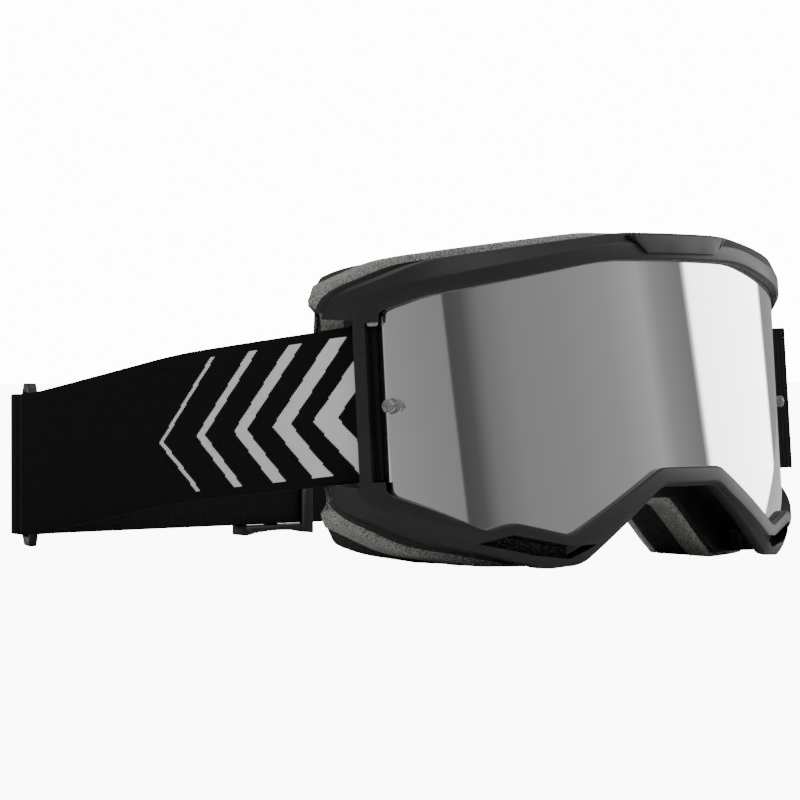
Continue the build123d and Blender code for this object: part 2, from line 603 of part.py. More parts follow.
SLIDER_FRONT = BACK_Y - STRAP_THICKNESS / 2 - CLEARANCE
SLIDER_BACK = RETURN_Y + RETURN_THICKNESS / 2 + CLEARANCE
with BuildPart() as slider:
    with BuildSketch(Plane.XZ.offset(-SLIDER_BACK - SLIDER_WALL)) as rails:
        with Locations((SLIDER_X, BACK_Z)):
            Rectangle(SLIDER_LENGTH, BUCKLE_HEIGHT)
            Rectangle(SLIDER_LENGTH, BUCKLE_HEIGHT - 2 * RAIL_HEIGHT, mode=Mode.SUBTRACT)
        for end in (-1, 1):
            with Locations((SLIDER_X, BACK_Z + end * (BUCKLE_HEIGHT / 2 + GRIP_RADIUS - GRIP_DEPTH))):
                Circle(GRIP_RADIUS, mode=Mode.SUBTRACT)
                with PolarLocations(GRIP_RADIUS, SLIDER_TEETH, 90 - GRIP_SPAN / 2 + 90 * (1 + end), GRIP_SPAN):
                    Circle(TOOTH_RADIUS, mode=Mode.SUBTRACT)
    extrude(amount=SLIDER_BACK - SLIDER_FRONT + 2 * SLIDER_WALL)
    tall = BUCKLE_HEIGHT - 2 * RAIL_HEIGHT
    bars = (
        (SLIDER_X + (SLIDER_LENGTH - SLIDER_BAR) / 2, SLIDER_FRONT - SLIDER_WALL / 2),
        (SLIDER_X - (SLIDER_LENGTH - SLIDER_BAR) / 2, SLIDER_BACK + SLIDER_WALL / 2),
        (SLIDER_X, RETURN_Y),
    )
    for x, y in bars:
        with Locations((x, y, BACK_Z)):
            Box(SLIDER_BAR, SLIDER_WALL, tall + SLIDER_WALL)
slider.part.label = "slider"
export_step(slider.part, "parts/slider.step")
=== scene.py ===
"""Motocross goggles: the looks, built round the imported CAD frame.

Metres, in the frame's own coordinates: +Z up, -Y the way the wearer looks. The front of the
goggles is drawn in its own leaning coordinates (x, depth, height from the nose bridge, in
millimetres) and turned into the frame's by leaning().
"""

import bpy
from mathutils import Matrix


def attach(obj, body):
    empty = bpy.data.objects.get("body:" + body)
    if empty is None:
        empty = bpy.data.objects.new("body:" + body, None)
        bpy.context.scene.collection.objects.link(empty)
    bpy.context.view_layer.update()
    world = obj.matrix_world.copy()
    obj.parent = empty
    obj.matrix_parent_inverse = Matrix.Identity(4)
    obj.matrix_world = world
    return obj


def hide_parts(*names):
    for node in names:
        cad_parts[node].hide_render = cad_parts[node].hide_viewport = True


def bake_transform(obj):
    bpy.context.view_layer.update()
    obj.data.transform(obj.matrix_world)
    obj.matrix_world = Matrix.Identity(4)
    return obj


bl_info = {
    "name": "Motocross Goggles",
    "version": (1, 0, 0),
    "blender": (4, 5, 0),
    "location": "View3D > Sidebar > Goggles",
    "description": "Builds the visible pieces of a pair of motocross goggles",
    "category": "Add Mesh",
}

from math import ceil, cos, pi, radians, sin, sqrt, tan

import bmesh
import bpy
from bpy.props import FloatProperty, FloatVectorProperty, IntProperty, PointerProperty
from mathutils import Vector

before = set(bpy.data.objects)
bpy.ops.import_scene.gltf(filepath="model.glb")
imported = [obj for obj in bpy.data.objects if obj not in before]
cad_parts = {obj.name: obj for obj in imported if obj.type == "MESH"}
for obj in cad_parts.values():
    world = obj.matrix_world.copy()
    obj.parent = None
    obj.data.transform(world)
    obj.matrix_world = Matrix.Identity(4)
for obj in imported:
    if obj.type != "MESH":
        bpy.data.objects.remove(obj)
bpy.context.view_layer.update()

MM = 0.001

# ------------------------------------------------------------------ sizes shared with the CAD, in mm
LEAN = radians(4.61)
BRIDGE_Y, BRIDGE_Z = -100.4, 28.3
LENS_FRONT = 2.58
CENTRE_RADIUS, SIDE_RADIUS, SIDE_START = 97.3, 70.3, 30.0
LENS_THICKNESS = 1.2
LIP_DEPTH, LEDGE_DEPTH, SKIRT_WALL = 3.5, 6.4, 2.2
FRAME_DEPTH, FLANGE_THICKNESS, FACE_RADIUS = 20.0, 2.2, 98.6
BEZEL_PROUD = 2.5
LENS_END, BAR_START, BAR_END, LEDGE_END = 65.2, 67.0, 70.2, 63.5
TUNNEL_OUT, TUNNEL_IN = -0.6, -3.9
TAIL_DEPTH = (TUNNEL_OUT + TUNNEL_IN) / 2
STRAP_WIDTH, STRAP_THICKNESS, STRAP_HEIGHT, STRAP_DROP = 45.0, 1.8, 47.0, 21.0
LOOP_DEPTH, HINGE_BEHIND = 192.5, 50.5
BAR_MIDDLE = (STRAP_HEIGHT - BRIDGE_Z) * cos(LEAN) + HINGE_BEHIND * sin(LEAN)
CHEVRON_PITCH, SELVEDGE = 17.0, 2.2
STRAP_LINE = [(83.8, 67.0), (88.8, 86.0), (97.0, 121.5)]
SWING_ROOM, SWING_MARGIN = 2.6, 1.5
BRIDGE = Vector((0, BRIDGE_Y, BRIDGE_Z)) * MM

SIDE_X = (CENTRE_RADIUS - SIDE_RADIUS) * sin(radians(SIDE_START))
CENTRE_Y = LENS_FRONT + CENTRE_RADIUS
SIDE_Y = CENTRE_Y - (CENTRE_RADIUS - SIDE_RADIUS) * cos(radians(SIDE_START))

# Front outlines, right half from the top to the nose: (x, z, corner radius), and which of
# the corners are the top corner, lower corner, outer cheek, inner cheek and nose.
BEZEL_EDGE = [
    (20, 68.2, 60), (69.5, 62.2, 20), (82.6, 54.5, 8), (84, 46, 30), (83.4, -6.5, 10),
    (70, -18.4, 20), (46, -27.0, 8), (36.5, -26.2, 9), (10.5, -5.2, 7),
]
WINDOW_EDGE = [
    (26, 60.0, 70), (71.5, 51.6, 22), (79.2, 47.8, 2.5), (79.6, -2.6, 5.5),
    (61.6, -15.2, 3.5), (55.0, -13.2, 8), (40.2, -17.6, 4.5), (11.7, 0.4, 6),
]
SKIRT_EDGE = [
    (19, 64.6, 55), (67, 58.8, 18), (79.0, 51.5, 8), (81.0, 40, 20), (80.4, -5.0, 10),
    (68, -14.8, 12), (61.0, -17.9, 4), (55.2, -16.0, 6), (40.4, -20.0, 4), (12.0, -2.6, 5.5),
]
BEZEL = (BEZEL_EDGE, (2, 4, 6, 7, 8))
WINDOW = (WINDOW_EDGE, (2, 3, 4, 6, 7))
SKIRT = (SKIRT_EDGE, (2, 4, 6, 8, 9))
CHEEK_VENT = [(62.4, -18.9), (55.2, -16.9), (40.4, -20.9), (33.2, -20.6), (40.5, -24.4), (50.0, -22.9)]
BROW_VENTS = (-42, -15, 15, 42)
BROW_VENT_HALF, BROW_VENT_HEIGHTS = (8, 2.75), (56, 68)
EASE = 3.2        # how far before its limit an outline starts to bend
STEPS_BETWEEN_CORNERS = (70, 34, 26, 18, 28, 10)


# ------------------------------------------------------------------ shape helpers
def leaning(x, y, z):
    """Frame point in metres from the goggle front's own x, depth and height in millimetres."""
    return BRIDGE + Vector((x, y * cos(LEAN) + z * sin(LEAN), z * cos(LEAN) - y * sin(LEAN))) * MM


def lens_point(angle, depth):
    """Plan point at an angle round the lens curve, a distance out of the lens surface."""
    turn = radians(abs(angle))
    inner = abs(angle) <= SIDE_START
    radius = depth + (CENTRE_RADIUS if inner else SIDE_RADIUS)
    x = radius * sin(turn) + (0 if inner else SIDE_X)
    y = (CENTRE_Y if inner else SIDE_Y) - radius * cos(turn)
    return (x if angle >= 0 else -x), y


def lens_depth(x, depth):
    """How far back the lens curve, moved out by depth, lies at x."""
    x = abs(x)
    if x <= (CENTRE_RADIUS + depth) * sin(radians(SIDE_START)):
        return CENTRE_Y - sqrt((CENTRE_RADIUS + depth) ** 2 - x ** 2)
    return SIDE_Y - sqrt(max((SIDE_RADIUS + depth) ** 2 - (x - SIDE_X) ** 2, 0))


def face_depth(x, shift):
    """How far back the face curve lies at x."""
    return FRAME_DEPTH + shift + FACE_RADIUS - sqrt(FACE_RADIUS ** 2 - x ** 2)


def half_outline(edge, corners, grow=0.0):
    """Points of the right half of an outline, evenly spaced between its named corners."""
    full = [(-edge[0][0], edge[0][1], 0)] + list(edge) + [(-edge[-1][0], edge[-1][1], 0)]
    dense = [Vector((0, edge[0][1]))]
    marks = []
    for k in range(1, len(full) - 1):
        before, here, after = (Vector(full[k + j][:2]) for j in (-1, 0, 1))
        into, out = (here - before).normalized(), (after - here).normalized()
        turn = into.angle(out)
        reach = full[k][2] * (sin(turn / 2) / cos(turn / 2))
        start, end = here - into * reach, here + out * reach
        steps = max(6, ceil(turn * full[k][2] / 0.5))
        for n in range(steps + 1):
            t = n / steps
            bend = start.lerp(here, t).lerp(here.lerp(end, t), t)
            dense.append(bend)
            if n == steps // 2:
                marks.append(len(dense) - 1)
    dense.append(Vector((0, edge[-1][1])))
    along = [0.0]
    for a, b in zip(dense, dense[1:]):
        along.append(along[-1] + (b - a).length)
    stops = [0.0] + [along[marks[c]] for c in corners] + [along[-1]]
    places = [0.0]
    for start, end, steps in zip(stops, stops[1:], STEPS_BETWEEN_CORNERS):
        places += [start + (end - start) * (n + 1) / steps for n in range(steps)]
    points, k = [], 0
    for place in places:
        while k < len(along) - 2 and along[k + 1] < place:
            k += 1
        a, b = dense[k], dense[k + 1]
        span = max(along[k + 1] - along[k], 1e-9)
        way = (b - a).normalized()
        point = a.lerp(b, min((place - along[k]) / span, 1))
        points.append(point + Vector((-way.y, way.x)) * grow)
    points[0].x = points[-1].x = 0
    return points


def ring(outline, grow, depth_at):
    """Closed loop of frame points round the goggle front."""
    right = half_outline(*outline, grow)
    left = [Vector((-p.x, p.y)) for p in reversed(right[1:-1])]
    return [leaning(p.x, depth_at(p.x), p.y) for p in right + left]


def on_lens(depth):
    """Depth rule for a loop that lies a distance out of the lens surface."""
    return lambda x: lens_depth(x, depth)


def on_face(shift):
    """Depth rule for a loop that lies a distance behind the face curve."""
    return lambda x: face_depth(x, shift)


def make_object(name, points, faces, material=None, uvs=None):
    """New smooth mesh object with its faces turned outwards."""
    mesh = bpy.data.meshes.new(name)
    mesh.from_pydata([tuple(p) for p in points], [], faces)
    if uvs:
        layer = mesh.uv_layers.new(name="UVMap")
        for loop in mesh.loops:
            layer.data[loop.index].uv = uvs[loop.vertex_index]
    build = bmesh.new()
    build.from_mesh(mesh)
    bmesh.ops.recalc_face_normals(build, faces=build.faces)
    build.to_mesh(mesh)
    build.free()
    mesh.shade_smooth()
    obj = bpy.data.objects.new(name, mesh)
    bpy.context.scene.collection.objects.link(obj)
    if material:
        obj.data.materials.append(material)
    return obj


def loft(name, rings, material=None, closed=True):
    """Skin over loops of equal length, joined back to the first when closed."""
    count = len(rings[0])
    points = [p for loop in rings for p in loop]
    faces = []
    for k in range(len(rings) if closed else len(rings) - 1):
        a, b = k * count, (k + 1) % len(rings) * count
        for n in range(count):
            m = (n + 1) % count
            faces.append((a + n, a + m, b + m, b + n))
    return make_object(name, points, faces, material)


def prism(name, low, high):
    """Closed block between two loops of the same length."""
    count = len(low)
    faces = [tuple(range(count)), tuple(range(2 * count - 1, count - 1, -1))]
    faces += [(n, (n + 1) % count, count + (n + 1) % count, count + n) for n in range(count)]
    return make_object(name, list(low) + list(high), faces)


def finished(obj):
    """Applies every modifier on an object and returns it."""
    bpy.context.view_layer.update()
    graph = bpy.context.evaluated_depsgraph_get()
    mesh = bpy.data.meshes.new_from_object(obj.evaluated_get(graph))
    obj.modifiers.clear()
    obj.data = mesh
    return obj


def carve(obj, cutters):
    """Cuts blocks out of an object and deletes them."""
    for cutter in cutters:
        cut = obj.modifiers.new("cut", "BOOLEAN")
        cut.operation = "DIFFERENCE"
        cut.solver = "MANIFOLD"
        cut.object = cutter
    finished(obj)
    for cutter in cutters:
        bpy.data.objects.remove(cutter)
    return obj


def soften(obj, width, segments=2, angle=32):
    """Rounds the sharp edges of an object by a width in millimetres."""
    bevel = obj.modifiers.new("round", "BEVEL")
    bevel.width = width * MM
    bevel.segments = segments
    bevel.limit_method = "ANGLE"
    bevel.angle_limit = radians(angle)
    bevel.harden_normals = True
    finished(obj)
    return shade(obj, angle)


def shade(obj, angle=40):
    """Smooth faces with crisp edges past an angle."""
    obj.data.shade_smooth()
    obj.data.set_sharp_from_angle(angle=radians(angle))
    return obj


def copy_of(node, name):
    """Welded copy of a CAD node's mesh, which may be changed."""
    obj = bpy.data.objects.new(name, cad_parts[node].data.copy())
    bpy.context.scene.collection.objects.link(obj)
    build = bmesh.new()
    build.from_mesh(obj.data)
    bmesh.ops.remove_doubles(build, verts=build.verts, dist=1e-6)
    bmesh.ops.dissolve_limit(build, angle_limit=radians(1.5), verts=build.verts, edges=build.edges)
    build.to_mesh(obj.data)
    build.free()
    obj.data.materials.clear()
    return obj


def sector(start, end, inner, outer, side, half_height, middle=BAR_MIDDLE):
    """Cutter between two angles and two depths of the lens curve."""
    steps = 6
    turns = [start + (end - start) * n / steps for n in range(steps + 1)]
    outline = [lens_point(side * t, inner) for t in turns] + [lens_point(side * t, outer) for t in reversed(turns)]
    low = [leaning(x, y, middle - half_height) for x, y in outline]
    high = [leaning(x, y, middle + half_height) for x, y in outline]
    return prism("cutter", low, high)


def finish_piece(obj, material, slot, body, *nodes):
    """Gives a piece its material and body, and hides the CAD nodes that it stands for; slot is not used."""
    obj.data.materials.clear()
    obj.data.materials.append(material)
    if body:
        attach(obj, body)
    if nodes:
        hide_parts(*nodes)
    return obj


# ------------------------------------------------------------------ materials
def node_group(name, inputs, outputs):
    """Empty shader node group with its named inputs and outputs."""
    group = bpy.data.node_groups.new(name, "ShaderNodeTree")
    for label, kind, value in inputs:
        socket = group.interface.new_socket(name=label, in_out="INPUT", socket_type=kind)
        socket.default_value = value
    for label, kind in outputs:
        group.interface.new_socket(name=label, in_out="OUTPUT", socket_type=kind)
    return group, group.nodes.new("NodeGroupInput"), group.nodes.new("NodeGroupOutput")


SURFACE_OUTPUTS = [("Color", "NodeSocketColor"), ("Height", "NodeSocketFloat")]


class Wiring:
    """Short ways to add and link the nodes of one tree."""

    def __init__(self, tree):
        self.tree = tree

    def add(self, kind, **values):
        """New node with the given properties."""
        node = self.tree.nodes.new(kind)
        for key, value in values.items():
            setattr(node, key, value)
        return node

    def link(self, source, target):
        """Links two sockets."""
        self.tree.links.new(source, target)

    def feed(self, socket, value):
        """Puts a value or another socket on a socket."""
        if isinstance(value, bpy.types.NodeSocket):
            self.link(value, socket)
        else:
            socket.default_value = value

    def math(self, operation, a, b=0.0, c=0.0):
        """Math node's result."""
        node = self.add("ShaderNodeMath", operation=operation)
        for socket, value in zip(node.inputs, (a, b, c)):
            self.feed(socket, value)
        return node.outputs[0]

    def mix(self, share, a, b):
        """Mix of two colours."""
        node = self.add("ShaderNodeMix", data_type="RGBA")
        self.feed(node.inputs[0], share)
        self.feed(node.inputs[6], a)
        self.feed(node.inputs[7], b)
        return node.outputs[2]

    def noise(self, vector, scale, detail=2.0, rough=0.5):
        """Noise texture's value."""
        node = self.add("ShaderNodeTexNoise")
        self.link(vector, node.inputs["Vector"])
        self.feed(node.inputs["Scale"], scale)
        node.inputs["Detail"].default_value = detail
        node.inputs["Roughness"].default_value = rough
        return node.outputs["Fac"]

    def span(self, value, low, high, to_low=0.0, to_high=1.0):
        """Value moved from one range to another, kept inside it."""
        node = self.add("ShaderNodeMapRange")
        for socket, number in zip(node.inputs, (value, low, high, to_low, to_high)):
            self.feed(socket, number)
        return node.outputs[0]


def grain_group():
    """Fine moulded texture: an uneven gloss and a low grain."""
    inputs = [("Scale", "NodeSocketFloat", 2500.0), ("Roughness", "NodeSocketFloat", 0.5),
              ("Spread", "NodeSocketFloat", 0.1)]
    outputs = [("Roughness", "NodeSocketFloat"), ("Height", "NodeSocketFloat")]
    group, start, end = node_group("Goggles Grain", inputs, outputs)
    w = Wiring(group)
    place = w.add("ShaderNodeTexCoord").outputs["Object"]
    fine = w.noise(place, start.outputs["Scale"], 3.0)
    broad = w.noise(place, 60.0, 3.0)
    uneven = w.math("SUBTRACT", broad, 0.5)
    rough = w.math("MULTIPLY_ADD", uneven, start.outputs["Spread"], start.outputs["Roughness"])
    w.link(rough, end.inputs["Roughness"])
    w.link(fine, end.inputs["Height"])
    return group


def foam_group():
    """Open-cell foam: dark pores in a lighter skeleton."""
    inputs = [("Cells", "NodeSocketFloat", 1500.0), ("Dark", "NodeSocketColor", (0, 0, 0, 1)),
              ("Light", "NodeSocketColor", (0.3, 0.3, 0.3, 1)), ("Openness", "NodeSocketFloat", 0.5)]
    group, start, end = node_group("Goggles Open Cell", inputs, SURFACE_OUTPUTS)
    w = Wiring(group)
    place = w.add("ShaderNodeTexCoord").outputs["Object"]
    cell = w.add("ShaderNodeTexVoronoi", feature="F1")
    w.link(place, cell.inputs["Vector"])
    w.link(start.outputs["Cells"], cell.inputs["Scale"])
    rim = w.span(cell.outputs["Distance"], 0.15, 0.75)
    speck = w.noise(place, w.math("MULTIPLY", start.outputs["Cells"], 0.55), 4.0, 0.65)
    mix = w.math("ADD", w.math("MULTIPLY", rim, 0.45), w.math("MULTIPLY", speck, 0.75))
    low = w.math("SUBTRACT", start.outputs["Openness"], 0.12)
    high = w.math("ADD", start.outputs["Openness"], 0.22)
    share = w.span(mix, low, high)
    w.link(w.mix(share, start.outputs["Dark"], start.outputs["Light"]), end.inputs["Color"])
    w.link(mix, end.inputs["Height"])
    return group


def weave_group():
    """Woven elastic: fine threads outside, upright ribs inside, and woven chevrons near the frame."""
    inputs = [
        ("Thread", "NodeSocketFloat", 0.55), ("Base", "NodeSocketColor", (0.01, 0.01, 0.01, 1)),
        ("Inside", "NodeSocketColor", (0.007, 0.0055, 0.0055, 1)), ("Graphic", "NodeSocketColor", (0.7, 0.7, 0.7, 1)),
        ("Start", "NodeSocketFloat", 20.0), ("End", "NodeSocketFloat", 80.0), ("Width", "NodeSocketFloat", 45.0),
    ]
    group, start, end = node_group("Goggles Weave", inputs, SURFACE_OUTPUTS)
    w = Wiring(group)
    uv = w.add("ShaderNodeUVMap", uv_map="UVMap").outputs["UV"]
    split = w.add("ShaderNodeSeparateXYZ")
    w.link(uv, split.inputs[0])
    along, lap = split.outputs["X"], split.outputs["Y"]
    across = w.math("MULTIPLY", w.math("FRACT", lap), start.outputs["Width"])
    inside = w.math("MULTIPLY", w.math("GREATER_THAN", lap, 1.99), w.math("LESS_THAN", lap, 3.01))
    outside = w.math("LESS_THAN", lap, 1.001)
    thread = start.outputs["Thread"]
    turn = 2 * pi
    warp = w.math("SINE", w.math("MULTIPLY", w.math("DIVIDE", along, thread), turn))
    pick = w.math("MULTIPLY", thread, 1.15)
    weft = w.math("SINE", w.math("MULTIPLY", w.math("DIVIDE", across, pick), turn))
    plain = w.math("MULTIPLY", warp, weft)
    rib = w.math("SINE", w.math("MULTIPLY", w.math("DIVIDE", along, w.math("MULTIPLY", thread, 2.2)), turn))
    fuzz = w.noise(uv, 1.1, 3.0)
    # chevrons: slanted bars that turn at the strap's middle line, stepped by the threads
    step_u = w.math("MULTIPLY", w.math("FLOOR", w.math("DIVIDE", along, thread)), thread)
    step_v = w.math("MULTIPLY", w.math("FLOOR", w.math("DIVIDE", across, thread)), thread)
    bend = w.math("ABSOLUTE", w.math("SUBTRACT", step_v, w.math("MULTIPLY", start.outputs["Width"], 0.42)))
    ramp = w.math("ADD", step_u, w.math("MULTIPLY", bend, 0.9))
    head = w.math("GREATER_THAN", ramp, start.outputs["Start"])
    tail = w.math("LESS_THAN", ramp, start.outputs["End"])
    share = w.math("DIVIDE", w.math("SUBTRACT", ramp, start.outputs["Start"]), CHEVRON_PITCH)
    solid = w.math("SUBTRACT", 0.5, w.math("MULTIPLY", w.math("FLOOR", share), 0.1))
    bars = w.math("LESS_THAN", w.math("FRACT", share), solid)
    inner_edge = w.math("GREATER_THAN", across, SELVEDGE)
    outer_edge = w.math("LESS_THAN", across, STRAP_WIDTH - SELVEDGE)
    border = w.math("MULTIPLY", inner_edge, outer_edge)
    mark = w.math("MULTIPLY", w.math("MULTIPLY", head, tail), w.math("MULTIPLY", bars, border))
    mark = w.math("MULTIPLY", mark, outside)
    shade_share = w.math("MULTIPLY_ADD", plain, 0.16, 0.84)
    dim = w.mix(shade_share, (0.45, 0.45, 0.45, 1), start.outputs["Graphic"])
    ground = w.mix(inside, start.outputs["Base"], start.outputs["Inside"])
    ground = w.mix(w.math("MULTIPLY", fuzz, 0.12), ground, (0.02, 0.02, 0.02, 1))
    w.link(w.mix(mark, ground, dim), end.inputs["Color"])
    outer_height = w.math("ADD", plain, w.math("MULTIPLY", mark, 1.2))
    height = w.math("ADD", w.math("MULTIPLY", outer_height, w.math("SUBTRACT", 1.0, inside)),
                    w.math("MULTIPLY", rib, inside))
    w.link(height, end.inputs["Height"])
    return group


def fleece_group():
    """Short brushed pile: soft tufts over a pale ground."""
    inputs = [("Tufts", "NodeSocketFloat", 900.0), ("Shade", "NodeSocketColor", (0.5, 0.5, 0.5, 1)),
              ("Pile", "NodeSocketColor", (0.8, 0.8, 0.8, 1))]
    group, start, end = node_group("Goggles Fleece", inputs, SURFACE_OUTPUTS)
    w = Wiring(group)
    place = w.add("ShaderNodeTexCoord").outputs["Object"]
    tuft = w.noise(place, start.outputs["Tufts"], 5.0, 0.7)
    w.link(w.mix(w.span(tuft, 0.3, 0.62), start.outputs["Shade"], start.outputs["Pile"]), end.inputs["Color"])
    w.link(tuft, end.inputs["Height"])
    return group


GROUPS = {}


def group_named(name):
    """One of the shared node groups, built the first time that it is asked for."""
    makers = {"grain": grain_group, "foam": foam_group, "weave": weave_group, "fleece": fleece_group}
    if name not in GROUPS:
        GROUPS[name] = makers[name]()
    return GROUPS[name]


SHADER_SOCKETS = {
    "metallic": "Metallic", "transmission_weight": "Transmission Weight", "ior": "IOR",
    "coat_weight": "Coat Weight", "sheen_weight": "Sheen Weight", "specular_level": "Specular IOR Level",
}


def material(name, colour, roughness, group=None, values=(), bump=0.0, distance=0.0001, **shader):
    """Principled material, with a shared group's colour, roughness and height where one is named."""
    found = bpy.data.materials.get(name)
    if found:
        return found
    made = bpy.data.materials.new(name)
    made.use_nodes = True
    w = Wiring(made.node_tree)
    principled = made.node_tree.nodes["Principled BSDF"]
    principled.inputs["Base Color"].default_value = (*colour, 1)
    principled.inputs["Roughness"].default_value = roughness
    for key, value in shader.items():
        principled.inputs[SHADER_SOCKETS[key]].default_value = value
    if group:
        effect = w.add("ShaderNodeGroup", node_tree=group_named(group))
        for key, value in dict(values).items():
            effect.inputs[key].default_value = value
        for label, target in (("Color", "Base Color"), ("Roughness", "Roughness")):
            if label in effect.outputs:
                w.link(effect.outputs[label], principled.inputs[target])
        if bump:
            relief = w.add("ShaderNodeBump")
            relief.inputs["Strength"].default_value = bump
            relief.inputs["Distance"].default_value = distance
            w.link(effect.outputs["Height"], relief.inputs["Height"])
            w.link(relief.outputs["Normal"], principled.inputs["Normal"])
    return made


def opaque(colour):
    """Colour with full alpha."""
    return (*colour, 1.0)


def looks():
    """Every material of the goggles, from the panel's colours."""
    s = bpy.context.scene.goggles
    frame_colour, buckle_colour = tuple(s.frame_colour), tuple(s.buckle_colour)
    return {
        "frame": material(
            "goggles_frame", frame_colour, 0.46, "grain",
            {"Scale": 2600.0, "Roughness": 0.46, "Spread": 0.12}, 0.12, 0.00004,
        ),
        "badge": material(
            "goggles_badge", tuple(s.badge_colour), 0.5, "grain",
            {"Scale": 3200.0, "Roughness": 0.5, "Spread": 0.08}, 0.1, 0.00003,
        ),
        "buckle": material(
            "goggles_buckle", buckle_colour, 0.42, "grain",
            {"Scale": 2200.0, "Roughness": 0.42, "Spread": 0.12}, 0.15, 0.00004,
        ),
        "lens": material("goggles_lens", tuple(s.lens_colour), 0.03, metallic=1.0),
        "post": material(
            "goggles_post", (0.42, 0.42, 0.43), 0.12, transmission_weight=0.75, ior=1.49, coat_weight=0.4,
        ),
        "tab": material("goggles_tab", (0.35, 0.35, 0.35), 0.35),
        "grey_foam": material(
            "goggles_grey_foam", (0.2, 0.2, 0.2), 0.95, "foam",
            {"Cells": 3400.0, "Dark": (0.012, 0.012, 0.011, 1), "Light": opaque(s.foam_colour), "Openness": 0.5},
            0.7, 0.0003,
        ),
        "black_foam": material(
            "goggles_black_foam", (0.02, 0.02, 0.02), 0.95, "foam",
            {"Cells": 2600.0, "Dark": (0.003, 0.003, 0.003, 1), "Light": (0.045, 0.045, 0.046, 1), "Openness": 0.6},
            0.8, 0.0003,
        ),
        "vent_foam": material(
            "goggles_vent_foam", (0.02, 0.02, 0.02), 0.95, "foam",
            {"Cells": 1500.0, "Dark": (0.002, 0.002, 0.002, 1), "Light": (0.06, 0.06, 0.06, 1), "Openness": 0.55},
            1.0, 0.0006,
        ),
        "fleece": material(
            "goggles_fleece", (0.8, 0.8, 0.8), 0.98, "fleece",
            {"Tufts": 1500.0, "Shade": (0.42, 0.42, 0.41, 1), "Pile": opaque(s.fleece_colour)},
            0.6, 0.0004, sheen_weight=0.4,
        ),
        "strap": material(
            "goggles_strap", (0.01, 0.01, 0.01), 0.85, "weave",
            {"Thread": s.thread / MM, "Base": opaque(s.strap_colour), "Graphic": opaque(s.graphic_colour),
             "Start": s.graphic_start / MM, "End": s.graphic_end / MM},
            0.55, 0.00012, specular_level=0.2,
        ),
        "thread": material("goggles_thread", (0.018, 0.018, 0.018), 0.7),
    }


# ------------------------------------------------------------------ strap shape
def rounded_path(points, radii):
    """Plan points along a line with round corners; one radius for each point between the ends."""
    path = [Vector(points[0])]
    for k, radius in enumerate(radii, 1):
        before, here, after = (Vector(points[k + j]) for j in (-1, 0, 1))
        into, out = (here - before).normalized(), (after - here).normalized()
        turn = into.angle(out)
        reach = radius * sin(turn / 2) / cos(turn / 2)
        start = here - into * reach
        left = Vector((-into.y, into.x))
        way = 1 if left.dot(out) > 0 else -1
        centre = start + left * radius * way
        steps = max(2, ceil(turn * radius / 1.0), ceil(turn / radians(9)))
        for n in range(steps + 1):
            angle = way * turn * n / steps
            arm = start - centre
            turned = (arm.x * cos(angle) - arm.y * sin(angle), arm.x * sin(angle) + arm.y * cos(angle))
            path.append(centre + Vector(turned))
    path.append(Vector(points[-1]))
    fine = [path[0]]
    for a, b in zip(path, path[1:]):
        steps = max(1, ceil((b - a).length / 2.5))
        if (b - a).length > 1e-6:
            fine += [a.lerp(b, (n + 1) / steps) for n in range(steps)]
    return fine


def smooth(value, low, high):
    """Smooth step from 0 to 1 between two limits."""
    t = min(max((value - low) / (high - low), 0), 1)
    return t * t * (3 - 2 * t)


SLOPE = [(0, -0.2), (30, -0.11), (HINGE_BEHIND, 0), (0.63 * LOOP_DEPTH, 0.386), (0.96 * LOOP_DEPTH, 1), (400, 1)]


def strap_drop(y):
    """How far the strap's middle line has dropped at a distance behind the bridge, in mm."""
    def kinked(place):
        for (a, low), (b, high) in zip(SLOPE, SLOPE[1:]):
            if a <= place <= b:
                return low + (high - low) * (place - a) / (b - a)
        return 1
    samples = [kinked(min(max(y + d, 0), 399)) for d in (-8, -4, 0, 4, 8)]
    return STRAP_DROP * sum(samples) / len(samples)


def strap_place(x, y, v, upright):
    """Frame point on the strap: plan place from the bridge, height from its middle line."""
    standing = Vector((x, BRIDGE_Y + y, STRAP_HEIGHT - strap_drop(y) + v)) * MM
    if upright >= 1:
        return standing
    return leaning(x, y, BAR_MIDDLE + v).lerp(standing, upright)


